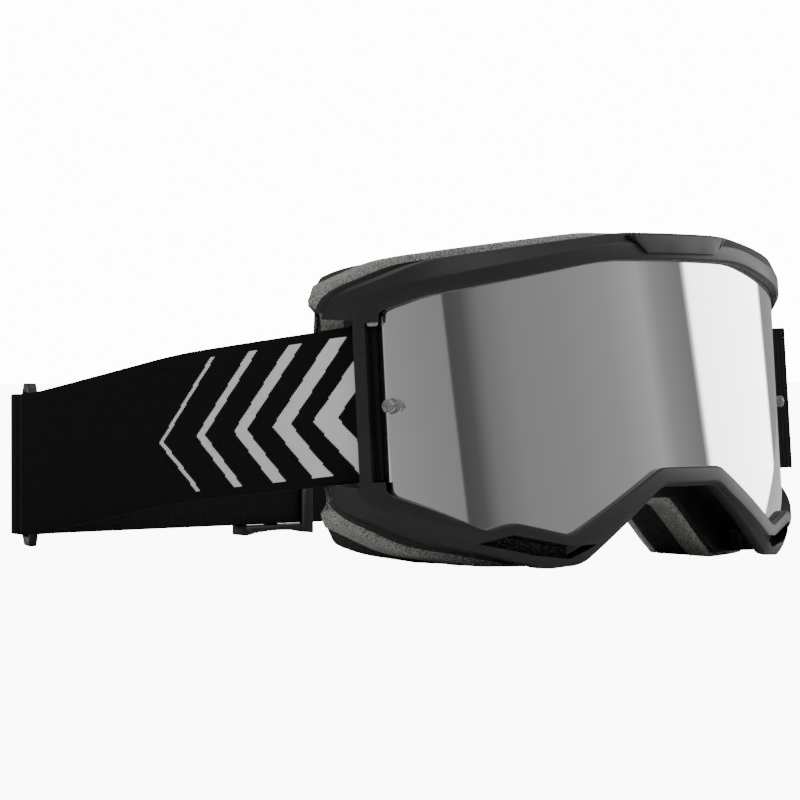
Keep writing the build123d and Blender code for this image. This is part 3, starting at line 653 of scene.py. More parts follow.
def strap_piece(name, path, thickness, printed, first_upright=0.0):
    """Closed strap along a plan path; printed is the side of the path that its face is on."""
    half, edge, rows = STRAP_WIDTH / 2, 0.55, 14
    profile = []
    for n in range(rows + 1):
        share = n / rows
        profile.append((1.0, -half + edge + (STRAP_WIDTH - 2 * edge) * share, share))
    profile += [(0.72, half - 0.12, 1.2), (0.0, half, 1.5), (-0.72, half - 0.12, 1.8)]
    for n in range(rows + 1):
        share = n / rows
        profile.append((-1.0, half - edge - (STRAP_WIDTH - 2 * edge) * share, 2 + share))
    profile += [(-0.72, -half + 0.12, 3.2), (0.0, -half, 3.5), (0.72, -half + 0.12, 3.8)]
    points, uvs, along = [], [], 0.0
    for k, place in enumerate(path):
        before, after = path[max(k - 1, 0)], path[min(k + 1, len(path) - 1)]
        way = (after - before).normalized()
        normal = Vector((way.y, -way.x)) * printed
        if k:
            along += (place - path[k - 1]).length
        upright = max(smooth(along, 6, 26), first_upright)
        for out, v, lap in profile:
            spot = place + normal * out * thickness / 2
            points.append(strap_place(spot.x, spot.y, v, upright))
            uvs.append((along, lap))
    count, faces = len(profile), []
    for k in range(len(path) - 1):
        for n in range(count):
            m = (n + 1) % count
            faces.append((k * count + n, k * count + m, (k + 1) * count + m, (k + 1) * count + n))
    last = (len(path) - 1) * count
    faces += [tuple(range(count)), tuple(range(last + count - 1, last - 1, -1))]
    obj = make_object(name, points, faces, uvs=uvs)
    layer = obj.data.uv_layers["UVMap"].data
    for face in obj.data.polygons:
        laps = [layer[i].uv.y for i in face.loop_indices]
        if max(laps) - min(laps) > 2.5:
            for i in face.loop_indices:
                if layer[i].uv.y < 1:
                    layer[i].uv.y += 4
    return shade(obj, 50)


# ------------------------------------------------------------------ panel values
class GogglesSettings(bpy.types.PropertyGroup):
    """Sizes and colours that can be changed before the goggles are built."""

    frame_colour: FloatVectorProperty(
        name="Frame", description="Colour of the moulded frame", subtype="COLOR", min=0, max=1,
        default=(0.0085, 0.0085, 0.0088),
    )
    badge_colour: FloatVectorProperty(
        name="Badge", description="Colour of the plate on the brow", subtype="COLOR", min=0, max=1,
        default=(0.009, 0.009, 0.0093),
    )
    buckle_colour: FloatVectorProperty(
        name="Buckles", description="Colour of the ring and slider", subtype="COLOR", min=0, max=1,
        default=(0.006, 0.006, 0.0062),
    )
    lens_colour: FloatVectorProperty(
        name="Lens", description="Tint of the lens mirror", subtype="COLOR", min=0, max=1,
        default=(0.86, 0.86, 0.87),
    )
    strap_colour: FloatVectorProperty(
        name="Strap", description="Colour of the woven strap", subtype="COLOR", min=0, max=1,
        default=(0.0012, 0.0012, 0.0013),
    )
    graphic_colour: FloatVectorProperty(
        name="Strap Graphic", description="Colour of the woven chevrons", subtype="COLOR", min=0, max=1,
        default=(0.98, 0.98, 0.98),
    )
    foam_colour: FloatVectorProperty(
        name="Base Foam", description="Lightest colour of the foam next to the frame", subtype="COLOR", min=0, max=1,
        default=(0.45, 0.45, 0.42),
    )
    fleece_colour: FloatVectorProperty(
        name="Fleece", description="Colour of the layer against the face", subtype="COLOR", min=0, max=1,
        default=(0.82, 0.82, 0.81),
    )
    thread: FloatProperty(
        name="Thread", description="Spacing of the strap's threads", unit="LENGTH", default=0.00055,
        min=0.0002, max=0.003,
    )
    graphic_start: FloatProperty(
        name="Graphic Start", description="Where the chevrons start along the strap", unit="LENGTH", default=0.016,
        min=0, max=0.2,
    )
    graphic_end: FloatProperty(
        name="Graphic End", description="Where the chevrons end along the strap", unit="LENGTH", default=0.096,
        min=0, max=0.2,
    )
    crease_width: FloatProperty(
        name="Bezel Band", description="Width of the flat band round the lens", unit="LENGTH", default=0.0048,
        min=0.001, max=0.01,
    )
    foam_swell: FloatProperty(
        name="Foam Swell", description="Most that the foam's faces may bulge", unit="LENGTH", default=0.0009,
        min=0, max=0.005,
    )
    stitch_spacing: FloatProperty(
        name="Stitch Spacing", description="Distance between stitches", unit="LENGTH", default=0.0024,
        min=0.001, max=0.01,
    )
    stitch_seed: IntProperty(name="Stitch Seed", description="Seed of the stitches' small turns", default=3, min=0)


# ------------------------------------------------------------------ frame and lens
def bounded(outline, side_angle, grow=0.0):
    """Right half of an outline kept within an angle round the lens curve, with eased corners."""
    points = half_outline(*outline, grow)
    reach = SIDE_X + SIDE_RADIUS * sin(radians(side_angle))
    start = reach - EASE
    most = max(p.x for p in points) - start
    for p in points:
        if p.x > start:
            p.x = start + EASE * sin(pi / 2 * (p.x - start) / most)
    return points


def frame_loop(points, depth_at):
    """Closed loop of the outer frame, kept ahead of the face flange and off the floor."""
    left = [Vector((-p.x, p.y)) for p in reversed(points[1:-1])]
    loop = []
    for p in points + left:
        spot = leaning(p.x, min(depth_at(p.x), face_depth(p.x, -FLANGE_THICKNESS)), p.y)
        spot.z = max(spot.z, 0.3 * MM)
        loop.append(spot)
    return loop


def outer_frame_loops(band):
    """Section loops of the outer frame, from the groove round the front to the ledge."""
    window = bounded(WINDOW, BAR_START)
    ledge = bounded(WINDOW, LEDGE_END)
    groove = bounded(WINDOW, BAR_START, 1.65)
    rim = half_outline(*BEZEL)
    skirt, bore = half_outline(*SKIRT), half_outline(*SKIRT, -SKIRT_WALL)

    def towards(reach, share=0.8):
        """Points from the window towards the rim, a distance out."""
        made = []
        for a, b in zip(window, rim):
            gap = (b - a).length
            made.append(a.lerp(b, min(reach / gap, share) if gap else 0))
        made[0].x = made[-1].x = 0
        return made

    def between(share):
        """Loop part of the way across the sloped facet."""
        proud = BEZEL_PROUD + (0.5 - BEZEL_PROUD) * share
        return frame_loop([a.lerp(b, share) for a, b in zip(towards(band), rim)], on_lens(proud))

    shrunk = half_outline(*BEZEL, -0.45)
    near = half_outline(*BEZEL, -0.12)
    return [
        frame_loop(window, on_lens(0.15)),
        frame_loop(window, on_lens(1.5)),
        frame_loop(towards(0.15, 0.05), on_lens(2.1)),
        frame_loop(towards(0.45, 0.15), on_lens(2.4)),
        frame_loop(towards(0.9, 0.3), on_lens(BEZEL_PROUD)),
        frame_loop(towards(band - 0.2, 0.74), on_lens(BEZEL_PROUD)),
        frame_loop(towards(band, 0.78), on_lens(BEZEL_PROUD - 0.02)),
        between(0.05),
        between(0.5),
        frame_loop(shrunk, on_lens(0.62)),
        frame_loop(near, on_lens(0.42)),
        frame_loop(rim, on_lens(0.0)),
        frame_loop(rim, on_lens(-LIP_DEPTH + 0.5)),
        frame_loop(near, on_lens(-LIP_DEPTH + 0.12)),
        frame_loop(shrunk, on_lens(-LIP_DEPTH)),
        frame_loop(skirt, on_lens(-LIP_DEPTH)),
        frame_loop(skirt, on_face(-FLANGE_THICKNESS)),
        frame_loop(bore, on_face(-FLANGE_THICKNESS)),
        frame_loop(bore, on_lens(-LEDGE_DEPTH)),
        frame_loop(ledge, on_lens(-LEDGE_DEPTH)),
        frame_loop(ledge, on_lens(-LENS_THICKNESS - 0.15)),
        frame_loop(groove, on_lens(-LENS_THICKNESS - 0.15)),
        frame_loop(groove, on_lens(0.15)),
    ]


def plate(points, side, front, back):
    """Cutter with a front outline, through the goggle front between two depths."""
    return prism(
        "cutter", [leaning(side * x, front, z) for x, z in points], [leaning(side * x, back, z) for x, z in points]
    )


def strap_room(side):
    """Cutter for the room beside the frame that the strap swings in."""
    inset = STRAP_THICKNESS / 2 + SWING_ROOM
    start, outside = lens_point(BAR_END, TUNNEL_IN), lens_point(BAR_END, 9.3)
    line = [(x - inset, y) for x, y in STRAP_LINE[:2]]
    behind = [*line, (line[-1][0], 150), (150, 150)]
    half = STRAP_WIDTH / 2 + SWING_MARGIN

    def level(over):
        """The room's outline at a height from the strap's middle: the front of it leans."""
        front = [leaning(side * x, y, BAR_MIDDLE + over) for x, y in (start, (150, outside[1]), outside)]
        back = [Vector((side * x, BRIDGE_Y + y, STRAP_HEIGHT + over)) * MM for x, y in behind]
        return [front[0], *back, front[1], front[2]]

    low, high = level(-half), level(half)
    return prism("cutter", low, high)


class GOGGLES_OT_frame(bpy.types.Operator):
    """Outer frame with its sloped bezel, strap bars, channel and vents"""

    bl_idname = "goggles.frame"
    bl_label = "Frame"

    def execute(self, context):
        s = context.scene.goggles
        look = looks()
        shell = loft("goggles_outer_frame", outer_frame_loops(s.crease_width / MM))
        cutters = []
        play = STRAP_WIDTH / 2 + 0.3
        for side in (-1, 1):
            cutters.append(sector(LENS_END, BAR_START, TUNNEL_IN, 7.5, side, play))
            cutters.append(sector(LENS_END - 5, BAR_START - 0.01, 0.12, 7.6, side, play))
            cutters.append(sector(LENS_END - 0.01, BAR_END + 2.1, TUNNEL_IN - 0.01, TUNNEL_OUT, side, play))
            cutters.append(strap_room(side))
            cutters.append(plate(CHEEK_VENT, side, -50, 150))
        for x in BROW_VENTS:
            middle = (lens_depth(x, 0) + LIP_DEPTH + face_depth(x, -FLANGE_THICKNESS)) / 2
            wide, deep = BROW_VENT_HALF
            corners = [(x + a * wide, middle + b * deep) for a, b in ((-1, -1), (1, -1), (1, 1), (-1, 1))]
            cutters.append(prism("cutter", *[[leaning(cx, cy, z) for cx, cy in corners] for z in BROW_VENT_HEIGHTS]))
        carve(shell, cutters)
        shade(shell, 38)
        finish_piece(shell, look["frame"], "frame", "goggles", "outer_frame")
        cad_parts["face_flange"].data.materials.clear()
        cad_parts["face_flange"].data.materials.append(look["frame"])
        return {"FINISHED"}


class GOGGLES_OT_lens(bpy.types.Operator):
    """Curved mirror lens with the two tear-off posts and the locking tabs"""

    bl_idname = "goggles.lens"
    bl_label = "Lens"

    def execute(self, context):
        look = looks()
        reach = SIDE_X + (SIDE_RADIUS - LENS_THICKNESS) * sin(radians(LENS_END)) - 0.1
        outline = half_outline(*WINDOW, 1.4)
        turn = max(range(len(outline)), key=lambda k: outline[k].x)
        upper, lower = outline[: turn + 1], list(reversed(outline[turn:]))

        def height(line, x):
            """Height of one half of the outline at x."""
            for a, b in zip(line, line[1:]):
                if a.x <= x <= b.x:
                    return a.y + (b.y - a.y) * (x - a.x) / max(b.x - a.x, 1e-9)
            return line[-1].y

        steps, rows = 150, 16
        points, faces = [], []
        xs = [reach * sin(pi / 2 * n / steps) for n in range(-steps, steps + 1)]
        for depth in (0.0, -LENS_THICKNESS):
            for x in xs:
                top, bottom = height(upper, abs(x)), height(lower, abs(x))
                for row in range(rows + 1):
                    points.append(leaning(x, lens_depth(x, depth), bottom + (top - bottom) * row / rows))
        sheet, tall = len(xs) * (rows + 1), rows + 1
        for back in (0, sheet):
            for n in range(len(xs) - 1):
                for row in range(rows):
                    a = back + n * tall + row
                    faces.append((a, a + 1, a + tall + 1, a + tall))
        for n in range(len(xs) - 1):
            for row in (0, rows):
                a = n * tall + row
                faces.append((a, a + tall, a + tall + sheet, a + sheet))
        for n in (0, len(xs) - 1):
            for row in range(rows):
                a = n * tall + row
                faces.append((a, a + 1, a + 1 + sheet, a + sheet))
        lens = shade(make_object("goggles_lens", points, faces), 40)
        finish_piece(lens, look["lens"], "lens", "goggles", "lens")
        for side in ("left", "right"):
            for node, name in (("tear_off_post_", "goggles_post_"), ("post_washer_", "goggles_washer_")):
                piece = soften(copy_of(node + side, name + side), 0.15, 2, 40)
                finish_piece(piece, look["post"], "post", "goggles", node + side)
            self.tab(side, look)
        return {"FINISHED"}

    def tab(self, side, look):
        """Small catch that locks the lens edge above the strap slot."""
        way = 1 if side == "left" else -1
        z = BAR_MIDDLE + STRAP_WIDTH / 2 + 1.2
        corners = [lens_point(way * a, d) for a, d in ((64.2, 0.2), (66.6, 0.2), (66.6, 2.2), (64.6, 1.8))]
        low = [leaning(x, y, z - 1.9) for x, y in corners]
        high = [leaning(x, y, z + 1.1) for x, y in corners]
        piece = soften(prism("goggles_lens_catch_" + side, low, high), 0.5, 3)
        finish_piece(piece, look["tab"], "post", "goggles")


class GOGGLES_OT_badge(bpy.types.Operator):
    """Plate on the brow with a slanted step at one end"""

    bl_idname = "goggles.badge"
    bl_label = "Badge"

    def execute(self, context):
        look = looks()
        badge = copy_of("brow_badge", "goggles_brow_badge")
        slit = [(-15.4, 61), (-14.2, 61), (-18.9, 68), (-20.1, 68)]
        groove = [(13.0, 61), (13.5, 61), (18.6, 68), (18.1, 68)]
        carve(badge, [plate(slit, 1, -30, lens_depth(15, 2.6)), plate(groove, 1, -30, lens_depth(15, 3.1))])
        soften(badge, 0.3, 3, 35)
        finish_piece(badge, look["badge"], "badge", "goggles", "brow_badge")
        return {"FINISHED"}


# ------------------------------------------------------------------ foam
FOAM_EDGE = [
    (20, 70.3, 60), (70.5, 64.8, 20), (85.2, 56.5, 10), (87.2, 30, 40), (85.4, -8.5, 14),
    (71, -20.6, 22), (46, -27.2, 11), (28.0, -27.0, 6), (20.8, -21.5, 5), (8.0, -9.6, 6),
]
EYE_PORT_EDGE = [
    (18, 56.5, 50), (58, 52.5, 16), (71.5, 45, 10), (71.0, -3.0, 12), (53, -14.4, 8), (36, -14.6, 7), (14.5, 3.6, 8),
]
FOAM = (FOAM_EDGE, (2, 4, 6, 7, 9))
EYE_PORT = (EYE_PORT_EDGE, (2, 3, 4, 5, 6))
TEMPLE_EDGE, TEMPLE_SLANT = 84.6, 38.0
RISE, FALL = 0.096, 0.335        # how fast the strap's room widens upwards and downwards behind the hinge
CLOTH_FRAMES = 20
LAYERS = (
    ("face_foam_base", "grey_foam", 0.0, 8.5, 0.0, 0.7),
    ("face_foam_core", "black_foam", 8.5, 13.5, -0.6, 0.9),
    ("face_fleece", "fleece", 22.0, 4.0, -1.4, 1.1),
)


def beside_strap(spot):
    """Foam point moved out of the room that the strap swings in."""
    x, y, z = spot / MM
    y, z = y - BRIDGE_Y, z - STRAP_HEIGHT
    behind = max(y - HINGE_BEHIND, 0)
    inset = STRAP_THICKNESS / 2 + SWING_ROOM
    (x0, y0), (x1, y1) = STRAP_LINE[:2]
    limit = x0 + (x1 - x0) * min(max((y - y0) / (y1 - y0), -0.6), 1) - inset
    over = z - (STRAP_WIDTH / 2 + SWING_MARGIN + behind * RISE)
    under = -z - (STRAP_WIDTH / 2 + SWING_MARGIN + behind * FALL)
    share = 1 - smooth(max(over, under), 0.2, 2.2)
    if abs(x) > limit:
        x = (limit + (abs(x) - limit) * (1 - share)) * (1 if x > 0 else -1)
    return Vector((x, spot.y / MM, max(spot.z / MM, 0))) * MM


def temple_depth(x, depth, sink):
    """Depth of a foam layer, held ahead of the bevel at the temples and behind the face."""
    bevel = face_depth(TEMPLE_EDGE, 0.0) + (TEMPLE_EDGE - abs(x)) * tan(radians(TEMPLE_SLANT))
    return max(min(depth, bevel - sink), face_depth(x, 0.0))


def foam_layer(name, start, thickness, grow, roundness):
    """Closed ring of foam between two distances behind the face flange."""
    end, r = start + thickness, roundness
    sink = start * 0.04
    rows = max(2, round(thickness / 2.2))
    section = []
    for n in range(rows + 1):
        section.append((0.0, 0.0, start + r + (thickness - 2 * r) * n / rows))
    section += [(0.0, 0.3 * r, end - 0.3 * r)]
    section += [(n / 5, r if n == 0 else -r if n == 5 else 0.0, end) for n in range(6)]
    section += [(1.0, -0.3 * r, end - 0.3 * r)]
    for n in range(rows + 1):
        section.append((1.0, 0.0, end - r - (thickness - 2 * r) * n / rows))
    section += [(1.0, -0.3 * r, start + 0.3 * r)]
    section += [(n / 5, r if n == 0 else -r if n == 5 else 0.0, start) for n in range(5, -1, -1)]
    section += [(0.0, 0.3 * r, start + 0.3 * r)]
    loops = []
    for share, inset, depth in section:
        outer = half_outline(*FOAM, grow - max(inset, 0))
        inner = half_outline(*EYE_PORT, -grow - min(inset, 0))
        right = [a.lerp(b, share) for a, b in zip(outer, inner)]
        left = [Vector((-p.x, p.y)) for p in reversed(right[1:-1])]
        deep = [(p, face_depth(p.x, depth)) for p in right + left]
        loops.append([beside_strap(leaning(p.x, temple_depth(p.x, y, sink), p.y)) for p, y in deep])
    return loft(name, loops)


def swell(obj, most):
    """Lets a foam ring bulge under pressure in a cloth simulation, by no more than a limit."""
    scene = bpy.context.scene
    before = [v.co.copy() for v in obj.data.vertices]
    cloth = obj.modifiers.new("swell", "CLOTH")
    cloth.settings.quality = 4
    cloth.settings.mass = 0.2
    cloth.settings.effector_weights.gravity = 0
    cloth.settings.use_pressure = True
    cloth.settings.uniform_pressure_force = 4
    cloth.settings.tension_stiffness = 25
    cloth.settings.compression_stiffness = 25
    cloth.settings.bending_stiffness = 2
    cloth.collision_settings.use_collision = False
    cloth.point_cache.frame_start = 1
    cloth.point_cache.frame_end = CLOTH_FRAMES
    for step in range(1, CLOTH_FRAMES + 1):
        scene.frame_set(step)
    graph = bpy.context.evaluated_depsgraph_get()
    mesh = bpy.data.meshes.new_from_object(obj.evaluated_get(graph))
    obj.modifiers.clear()
    for vertex, old in zip(mesh.vertices, before):
        move = vertex.co - old
        if move.length > most:
            move *= most / move.length
        vertex.co = beside_strap(old + move)
    obj.data = mesh
    scene.frame_set(1)
    return obj


class GOGGLES_OT_foam(bpy.types.Operator):
    """Three layers of face foam, swelled by a cloth simulation"""

    bl_idname = "goggles.foam"
    bl_label = "Face Foam"

    def execute(self, context):
        look = looks()
        most = context.scene.goggles.foam_swell
        for node, slot_name, start, thickness, grow, roundness in LAYERS:
            layer = foam_layer("goggles_" + node, start, thickness, grow, roundness)
            swell(layer, most)
            layer.data.shade_smooth()
            finish_piece(layer, look[slot_name], slot_name, "goggles", node)
        for node in ("brow_vent_foam", "cheek_vent_foam_left", "cheek_vent_foam_right"):
            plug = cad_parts[node]
            plug.data.materials.clear()
            plug.data.materials.append(look["vent_foam"])
        return {"FINISHED"}


# ------------------------------------------------------------------ strap and hardware
RING_HEM, RING_FOLD = (-110.18, 86.02 - BRIDGE_Y), (-106.42, 96.36 - BRIDGE_Y)
BACK, RETURN = LOOP_DEPTH, 94.7 - BRIDGE_Y
FOLD_RADIUS, EYE_RADIUS = 4.26, 3.11
SLIDER_X, SLIDER_BAR = -11.6, 4.7


def strap_front(side):
    """Plan line and radii of a strap's sewn end, from the slot beside the lens to the side."""
    proud = 9.2 if side > 0 else 0.4
    hem = [lens_point(66.1, proud), lens_point(66.1, TAIL_DEPTH), lens_point(BAR_END + 1.5, TAIL_DEPTH)]
    points = [(side * x, y) for x, y in hem + STRAP_LINE]
    return points, [1.0, 30.0, 14.0, 30.0, 200.0]


def stitch_group():
    """Geometry nodes that run small stitches along a line."""
    group = bpy.data.node_groups.new("Goggles Stitches", "GeometryNodeTree")
    face = group.interface
    face.new_socket(name="Geometry", in_out="INPUT", socket_type="NodeSocketGeometry")
    for label, value in (("Spacing", 0.0024), ("Length", 0.0017), ("Radius", 0.00026), ("Turn", 0.1)):
        face.new_socket(name=label, in_out="INPUT", socket_type="NodeSocketFloat").default_value = value
    face.new_socket(name="Seed", in_out="INPUT", socket_type="NodeSocketInt").default_value = 0
    face.new_socket(name="Material", in_out="INPUT", socket_type="NodeSocketMaterial")
    face.new_socket(name="Geometry", in_out="OUTPUT", socket_type="NodeSocketGeometry")
    add, link = group.nodes.new, group.links.new
    start, end = add("NodeGroupInput"), add("NodeGroupOutput")
    curve, even = add("GeometryNodeMeshToCurve"), add("GeometryNodeResampleCurve")
    even.mode = "LENGTH"
    tangent, align = add("GeometryNodeInputTangent"), add("FunctionNodeAlignRotationToVector")
    align.axis = "Z"
    ball = add("GeometryNodeMeshUVSphere")
    ball.inputs["Segments"].default_value = 8
    ball.inputs["Rings"].default_value = 6
    ball.inputs["Radius"].default_value = 1.0
    size = add("ShaderNodeCombineXYZ")
    half = add("ShaderNodeMath")
    half.operation = "MULTIPLY"
    half.inputs[1].default_value = 0.5
    turn, low, high = add("FunctionNodeRandomValue"), add("ShaderNodeCombineXYZ"), add("ShaderNodeCombineXYZ")
    turn.data_type = "FLOAT_VECTOR"
    flip = add("ShaderNodeMath")
    flip.operation = "MULTIPLY"
    flip.inputs[1].default_value = -1.0
    twist, place = add("GeometryNodeRotateInstances"), add("GeometryNodeInstanceOnPoints")
    real, paint = add("GeometryNodeRealizeInstances"), add("GeometryNodeSetMaterial")
    link(start.outputs["Geometry"], curve.inputs["Mesh"])
    link(curve.outputs["Curve"], even.inputs["Curve"])
    link(start.outputs["Spacing"], even.inputs["Length"])
    link(even.outputs["Curve"], place.inputs["Points"])
    link(tangent.outputs["Tangent"], align.inputs["Vector"])
    link(align.outputs["Rotation"], place.inputs["Rotation"])
    link(ball.outputs["Mesh"], place.inputs["Instance"])
    link(start.outputs["Length"], half.inputs[0])
    link(start.outputs["Radius"], size.inputs["X"])
    link(start.outputs["Radius"], size.inputs["Y"])
    link(half.outputs[0], size.inputs["Z"])
    link(size.outputs[0], place.inputs["Scale"])
    link(place.outputs["Instances"], twist.inputs["Instances"])
    link(start.outputs["Turn"], flip.inputs[0])
    for part, source in ((low, flip.outputs[0]), (high, start.outputs["Turn"])):
        for axis in "XYZ":
            link(source, part.inputs[axis])
    link(low.outputs[0], turn.inputs["Min"])
    link(high.outputs[0], turn.inputs["Max"])
    link(start.outputs["Seed"], turn.inputs["Seed"])
    link(turn.outputs["Value"], twist.inputs["Rotation"])
    link(twist.outputs["Instances"], real.inputs["Geometry"])
    link(real.outputs["Geometry"], paint.inputs["Geometry"])
    link(start.outputs["Material"], paint.inputs["Material"])
    link(paint.outputs["Geometry"], end.inputs["Geometry"])
    return group


def stitch_line(name, points, look, body):
    """Row of stitches through frame points, as a mesh that rides on a body."""
    s = bpy.context.scene.goggles
    group = bpy.data.node_groups.get("Goggles Stitches") or stitch_group()
    mesh = bpy.data.meshes.new(name + "_line")
    mesh.from_pydata([tuple(p) for p in points], [(n, n + 1) for n in range(len(points) - 1)], [])
    line = bpy.data.objects.new(name, mesh)
    bpy.context.scene.collection.objects.link(line)
    nodes = line.modifiers.new("stitches", "NODES")
    nodes.node_group = group
    sockets = {i.name: i.identifier for i in group.interface.items_tree if i.in_out == "INPUT"}
    nodes[sockets["Spacing"]] = s.stitch_spacing
    nodes[sockets["Length"]] = s.stitch_spacing * 0.72
    nodes[sockets["Seed"]] = s.stitch_seed
    nodes[sockets["Material"]] = look["thread"]
    finished(line)
    line.data.shade_smooth()
    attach(line, body)
    return line


class GOGGLES_OT_strap(bpy.types.Operator):
    """Woven strap: a short side to the ring, and a long side that doubles back to the slider"""

    bl_idname = "goggles.strap"
    bl_label = "Strap"

    def execute(self, context):
        look = looks()

        points, radii = strap_front(-1)
        x, y = RING_HEM
        points += [
            (x - EYE_RADIUS, y), (x - EYE_RADIUS, y + EYE_RADIUS), (x + EYE_RADIUS, y + EYE_RADIUS),
            (x + EYE_RADIUS, y - 2.2), (x + 1.35, y - 10), (x + 5.35, y - 26),
        ]
        radii += [10.0, 3.05, 3.05, 6.0, 14.0]
        short = strap_piece("goggles_strap_short", rounded_path(points, radii), STRAP_THICKNESS, -1)
        finish_piece(short, look["strap"], "strap", None)
        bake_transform(short)
        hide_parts("strap_short", "strap_end_right")

        points, radii = strap_front(1)
        points += [(118.4, BACK), (RING_FOLD[0] - FOLD_RADIUS, BACK), (RING_FOLD[0] - FOLD_RADIUS, RING_FOLD[1])]
        radii += [22.0, FOLD_RADIUS - 0.01]
        long = strap_piece("goggles_strap_long", rounded_path(points, radii), STRAP_THICKNESS, 1)
        finish_piece(long, look["strap"], "strap", None)
        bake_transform(long)
        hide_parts("strap_long", "strap_end_left")

        fold = RING_FOLD[1] + FOLD_RADIUS
        turn = SLIDER_X - SLIDER_BAR / 2 - 1.2
        points = [
            (RING_FOLD[0] - FOLD_RADIUS, RING_FOLD[1]), (RING_FOLD[0] - FOLD_RADIUS, fold),
            (RING_FOLD[0] + 8, fold), (RING_FOLD[0] + 26, RETURN), (turn, RETURN),
        ]
        path = rounded_path(points, [FOLD_RADIUS - 0.01, 16.0, 16.0])
        back = strap_piece("goggles_strap_return", path, 1.6, 1, first_upright=1.0)
        finish_piece(back, look["strap"], "strap", None)
        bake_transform(back)
        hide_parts("strap_return")

        inner = [(-107.4, 62.5), (-108.65, 67.5)]
        for number, (x, y) in enumerate(inner):
            rows = []
            for n in range(21):
                v = -20.5 + 41 * n / 20
                rows.append(Vector((x + 2.95, y, 26 + strap_lift(y) + v)) * MM)
            stitch_line("goggles_hem_stitches_" + str(number), rows, look, "strap_loop")
        return {"FINISHED"}


def strap_lift(y):
    """How much higher than at the back the strap's middle line is at a frame depth in mm."""
    return STRAP_DROP - strap_drop(y - BRIDGE_Y)


class GOGGLES_OT_hardware(bpy.types.Operator):
    """Ring and slider of the strap, with rounded edges"""

    bl_idname = "goggles.hardware"
    bl_label = "Ring and Slider"

    def execute(self, context):
        look = looks()
        for node, width in (("ring", 0.45), ("slider", 0.28)):
            piece = soften(copy_of(node, "goggles_" + node), width, 2, 50)
            finish_piece(piece, look["buckle"], "buckle", node, node)
        return {"FINISHED"}


# ------------------------------------------------------------------ stage
def area_light(name, place, aim, size, power):
    """Soft rectangular light aimed at a point."""
    light = bpy.data.lights.new(name, "AREA")
    light.shape = "RECTANGLE"
    light.size, light.size_y = size
    light.energy = power
    lamp = bpy.data.objects.new(name, light)
    lamp.location = place
    lamp.rotation_euler = (Vector(aim) - Vector(place)).to_track_quat("-Z", "Y").to_euler()
    bpy.context.scene.collection.objects.link(lamp)
    return lamp


# Brightness of the studio round the object: degrees from -Y towards +X.
STUDIO = [
    (-180, 0.5), (-75, 0.28), (-60, 0.26), (-59, 0.08), (-50, 0.1), (-41, 0.195), (-26, 0.255), (-5, 0.28),
    (14, 0.33), (28, 0.44), (34, 0.3), (47.5, 0.2), (49.5, 4.5), (90, 6.0), (92, 0.34), (130, 0.45), (180, 0.5),
]


def studio_world():
    """Pale backdrop for the camera, and soft boxes with darker gaps for light and reflections."""
    world = bpy.data.worlds.new("goggles_studio")
    bpy.context.scene.world = world
    world.use_nodes = True
    world.node_tree.nodes.clear()
    w = Wiring(world.node_tree)
    way = w.add("ShaderNodeSeparateXYZ")
    w.link(w.add("ShaderNodeTexCoord").outputs["Generated"], way.inputs[0])
    ahead = w.math("MULTIPLY", way.outputs["Y"], -1.0)
    angle = w.math("ARCTAN2", way.outputs["X"], ahead)
    turned = w.math("MULTIPLY_ADD", w.math("SUBTRACT", way.outputs["Z"], 0.14), 1.8, angle)
    share = w.math("MULTIPLY_ADD", turned, 1 / (2 * pi), 0.5)
    ramp = w.add("ShaderNodeValToRGB")
    stops = ramp.color_ramp.elements
    for k, (degrees_round, value) in enumerate(STUDIO):
        place = (degrees_round + 180) / 360
        stop = stops[k] if k < 2 else stops.new(place)
        stop.position = place
        stop.color = (value, value, value, 1)
    w.link(share, ramp.inputs[0])
    high = w.span(way.outputs["Z"], 0.35, 0.9)
    sky = w.mix(high, ramp.outputs[0], (0.4, 0.4, 0.4, 1))
    seen = w.add("ShaderNodeLightPath").outputs["Is Camera Ray"]
    back = w.add("ShaderNodeBackground")
    w.link(w.mix(seen, sky, (14.0, 14.0, 14.0, 1)), back.inputs["Color"])
    out = w.add("ShaderNodeOutputWorld")
    w.link(back.outputs[0], out.inputs["Surface"])


def bright_floor():
    """Pale floor, lifted towards white for the camera."""
    made = bpy.data.materials.new("goggles_floor")
    made.use_nodes = True
    made.node_tree.nodes.clear()
    w = Wiring(made.node_tree)
    matt, glow = w.add("ShaderNodeBsdfDiffuse"), w.add("ShaderNodeEmission")
    matt.inputs["Color"].default_value = (0.86, 0.86, 0.86, 1)
    glow.inputs["Strength"].default_value = 14.0
    seen = w.add("ShaderNodeLightPath").outputs["Is Camera Ray"]
    both, out = w.add("ShaderNodeMixShader"), w.add("ShaderNodeOutputMaterial")
    w.link(w.math("MULTIPLY", seen, 0.7), both.inputs[0])
    w.link(matt.outputs[0], both.inputs[1])
    w.link(glow.outputs[0], both.inputs[2])
    w.link(both.outputs[0], out.inputs["Surface"])
    return made


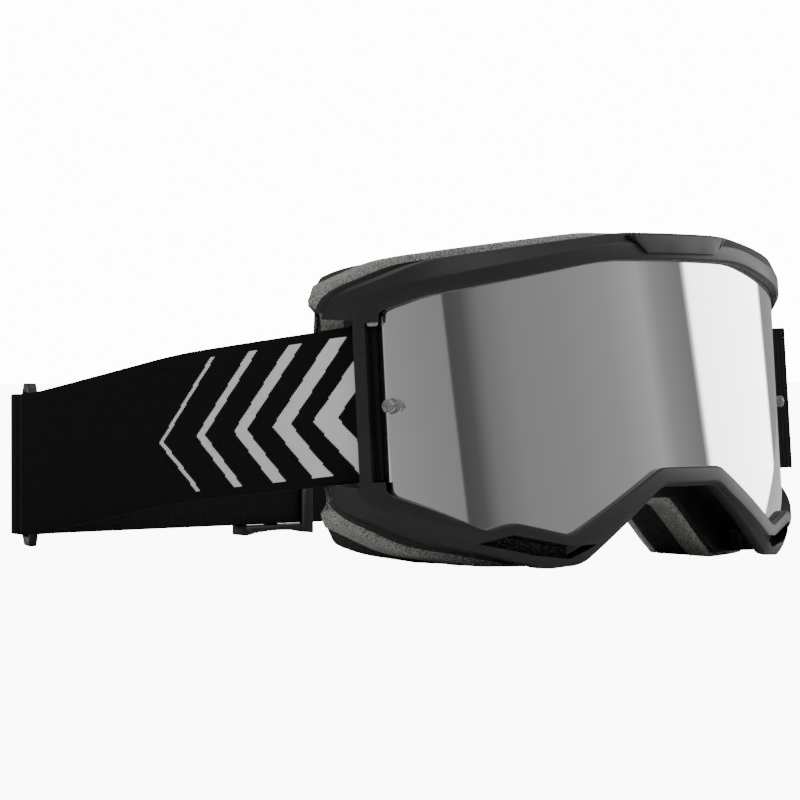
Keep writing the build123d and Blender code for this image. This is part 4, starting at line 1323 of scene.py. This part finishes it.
class GOGGLES_OT_stage(bpy.types.Operator):
    """Pale floor, soft studio light and the camera"""

    bl_idname = "goggles.stage"
    bl_label = "Stage"

    def execute(self, context):
        scene = context.scene
        studio_world()
        points = [(-6, -6, -0.0002), (6, -6, -0.0002), (6, 6, -0.0002), (-6, 6, -0.0002)]
        floor = make_object("goggles_floor", [Vector(p) for p in points], [(0, 1, 2, 3)])
        floor.data.materials.append(bright_floor())
        area_light("goggles_key", (-0.9, -0.7, 1.3), (0, -0.03, 0.05), (0.9, 0.9), 5)
        area_light("goggles_top", (0.2, 0.5, 1.5), (0, 0, 0.05), (1.6, 1.0), 4)
        camera = bpy.data.objects.new("goggles_camera", bpy.data.cameras.new("goggles_camera"))
        camera.data.lens = 121.46
        camera.data.sensor_width = 36
        camera.data.clip_start = 0.01
        camera.location = (-0.5464, -0.6618, 0.0582)
        camera.rotation_euler = Vector((0.6157, 0.788, -0.0134)).to_track_quat("-Z", "Y").to_euler()
        scene.collection.objects.link(camera)
        scene.camera = camera
        return {"FINISHED"}


# ------------------------------------------------------------------ panel
PIECES = (
    GOGGLES_OT_stage, GOGGLES_OT_frame, GOGGLES_OT_lens, GOGGLES_OT_badge, GOGGLES_OT_foam, GOGGLES_OT_strap,
    GOGGLES_OT_hardware,
)


class GOGGLES_PT_panel(bpy.types.Panel):
    """Goggles pieces and their values"""

    bl_idname = "GOGGLES_PT_panel"
    bl_label = "Motocross Goggles"
    bl_space_type = "VIEW_3D"
    bl_region_type = "UI"
    bl_category = "Goggles"

    def draw(self, context):
        for name in GogglesSettings.__annotations__:
            self.layout.prop(context.scene.goggles, name)
        for piece in PIECES:
            self.layout.operator(piece.bl_idname)


CLASSES = (GogglesSettings, *PIECES, GOGGLES_PT_panel)


def register():
    """Adds the classes and the scene's settings."""
    for item in CLASSES:
        bpy.utils.register_class(item)
    bpy.types.Scene.goggles = PointerProperty(type=GogglesSettings)


def unregister():
    """Takes the classes and the settings away again."""
    del bpy.types.Scene.goggles
    for item in reversed(CLASSES):
        bpy.utils.unregister_class(item)


def main():
    """Builds every piece."""
    register()
    bpy.ops.goggles.stage()
    bpy.ops.goggles.frame()
    bpy.ops.goggles.lens()
    bpy.ops.goggles.badge()
    bpy.ops.goggles.foam()
    bpy.ops.goggles.strap()
    bpy.ops.goggles.hardware()


if __name__ == "__main__":
    main()
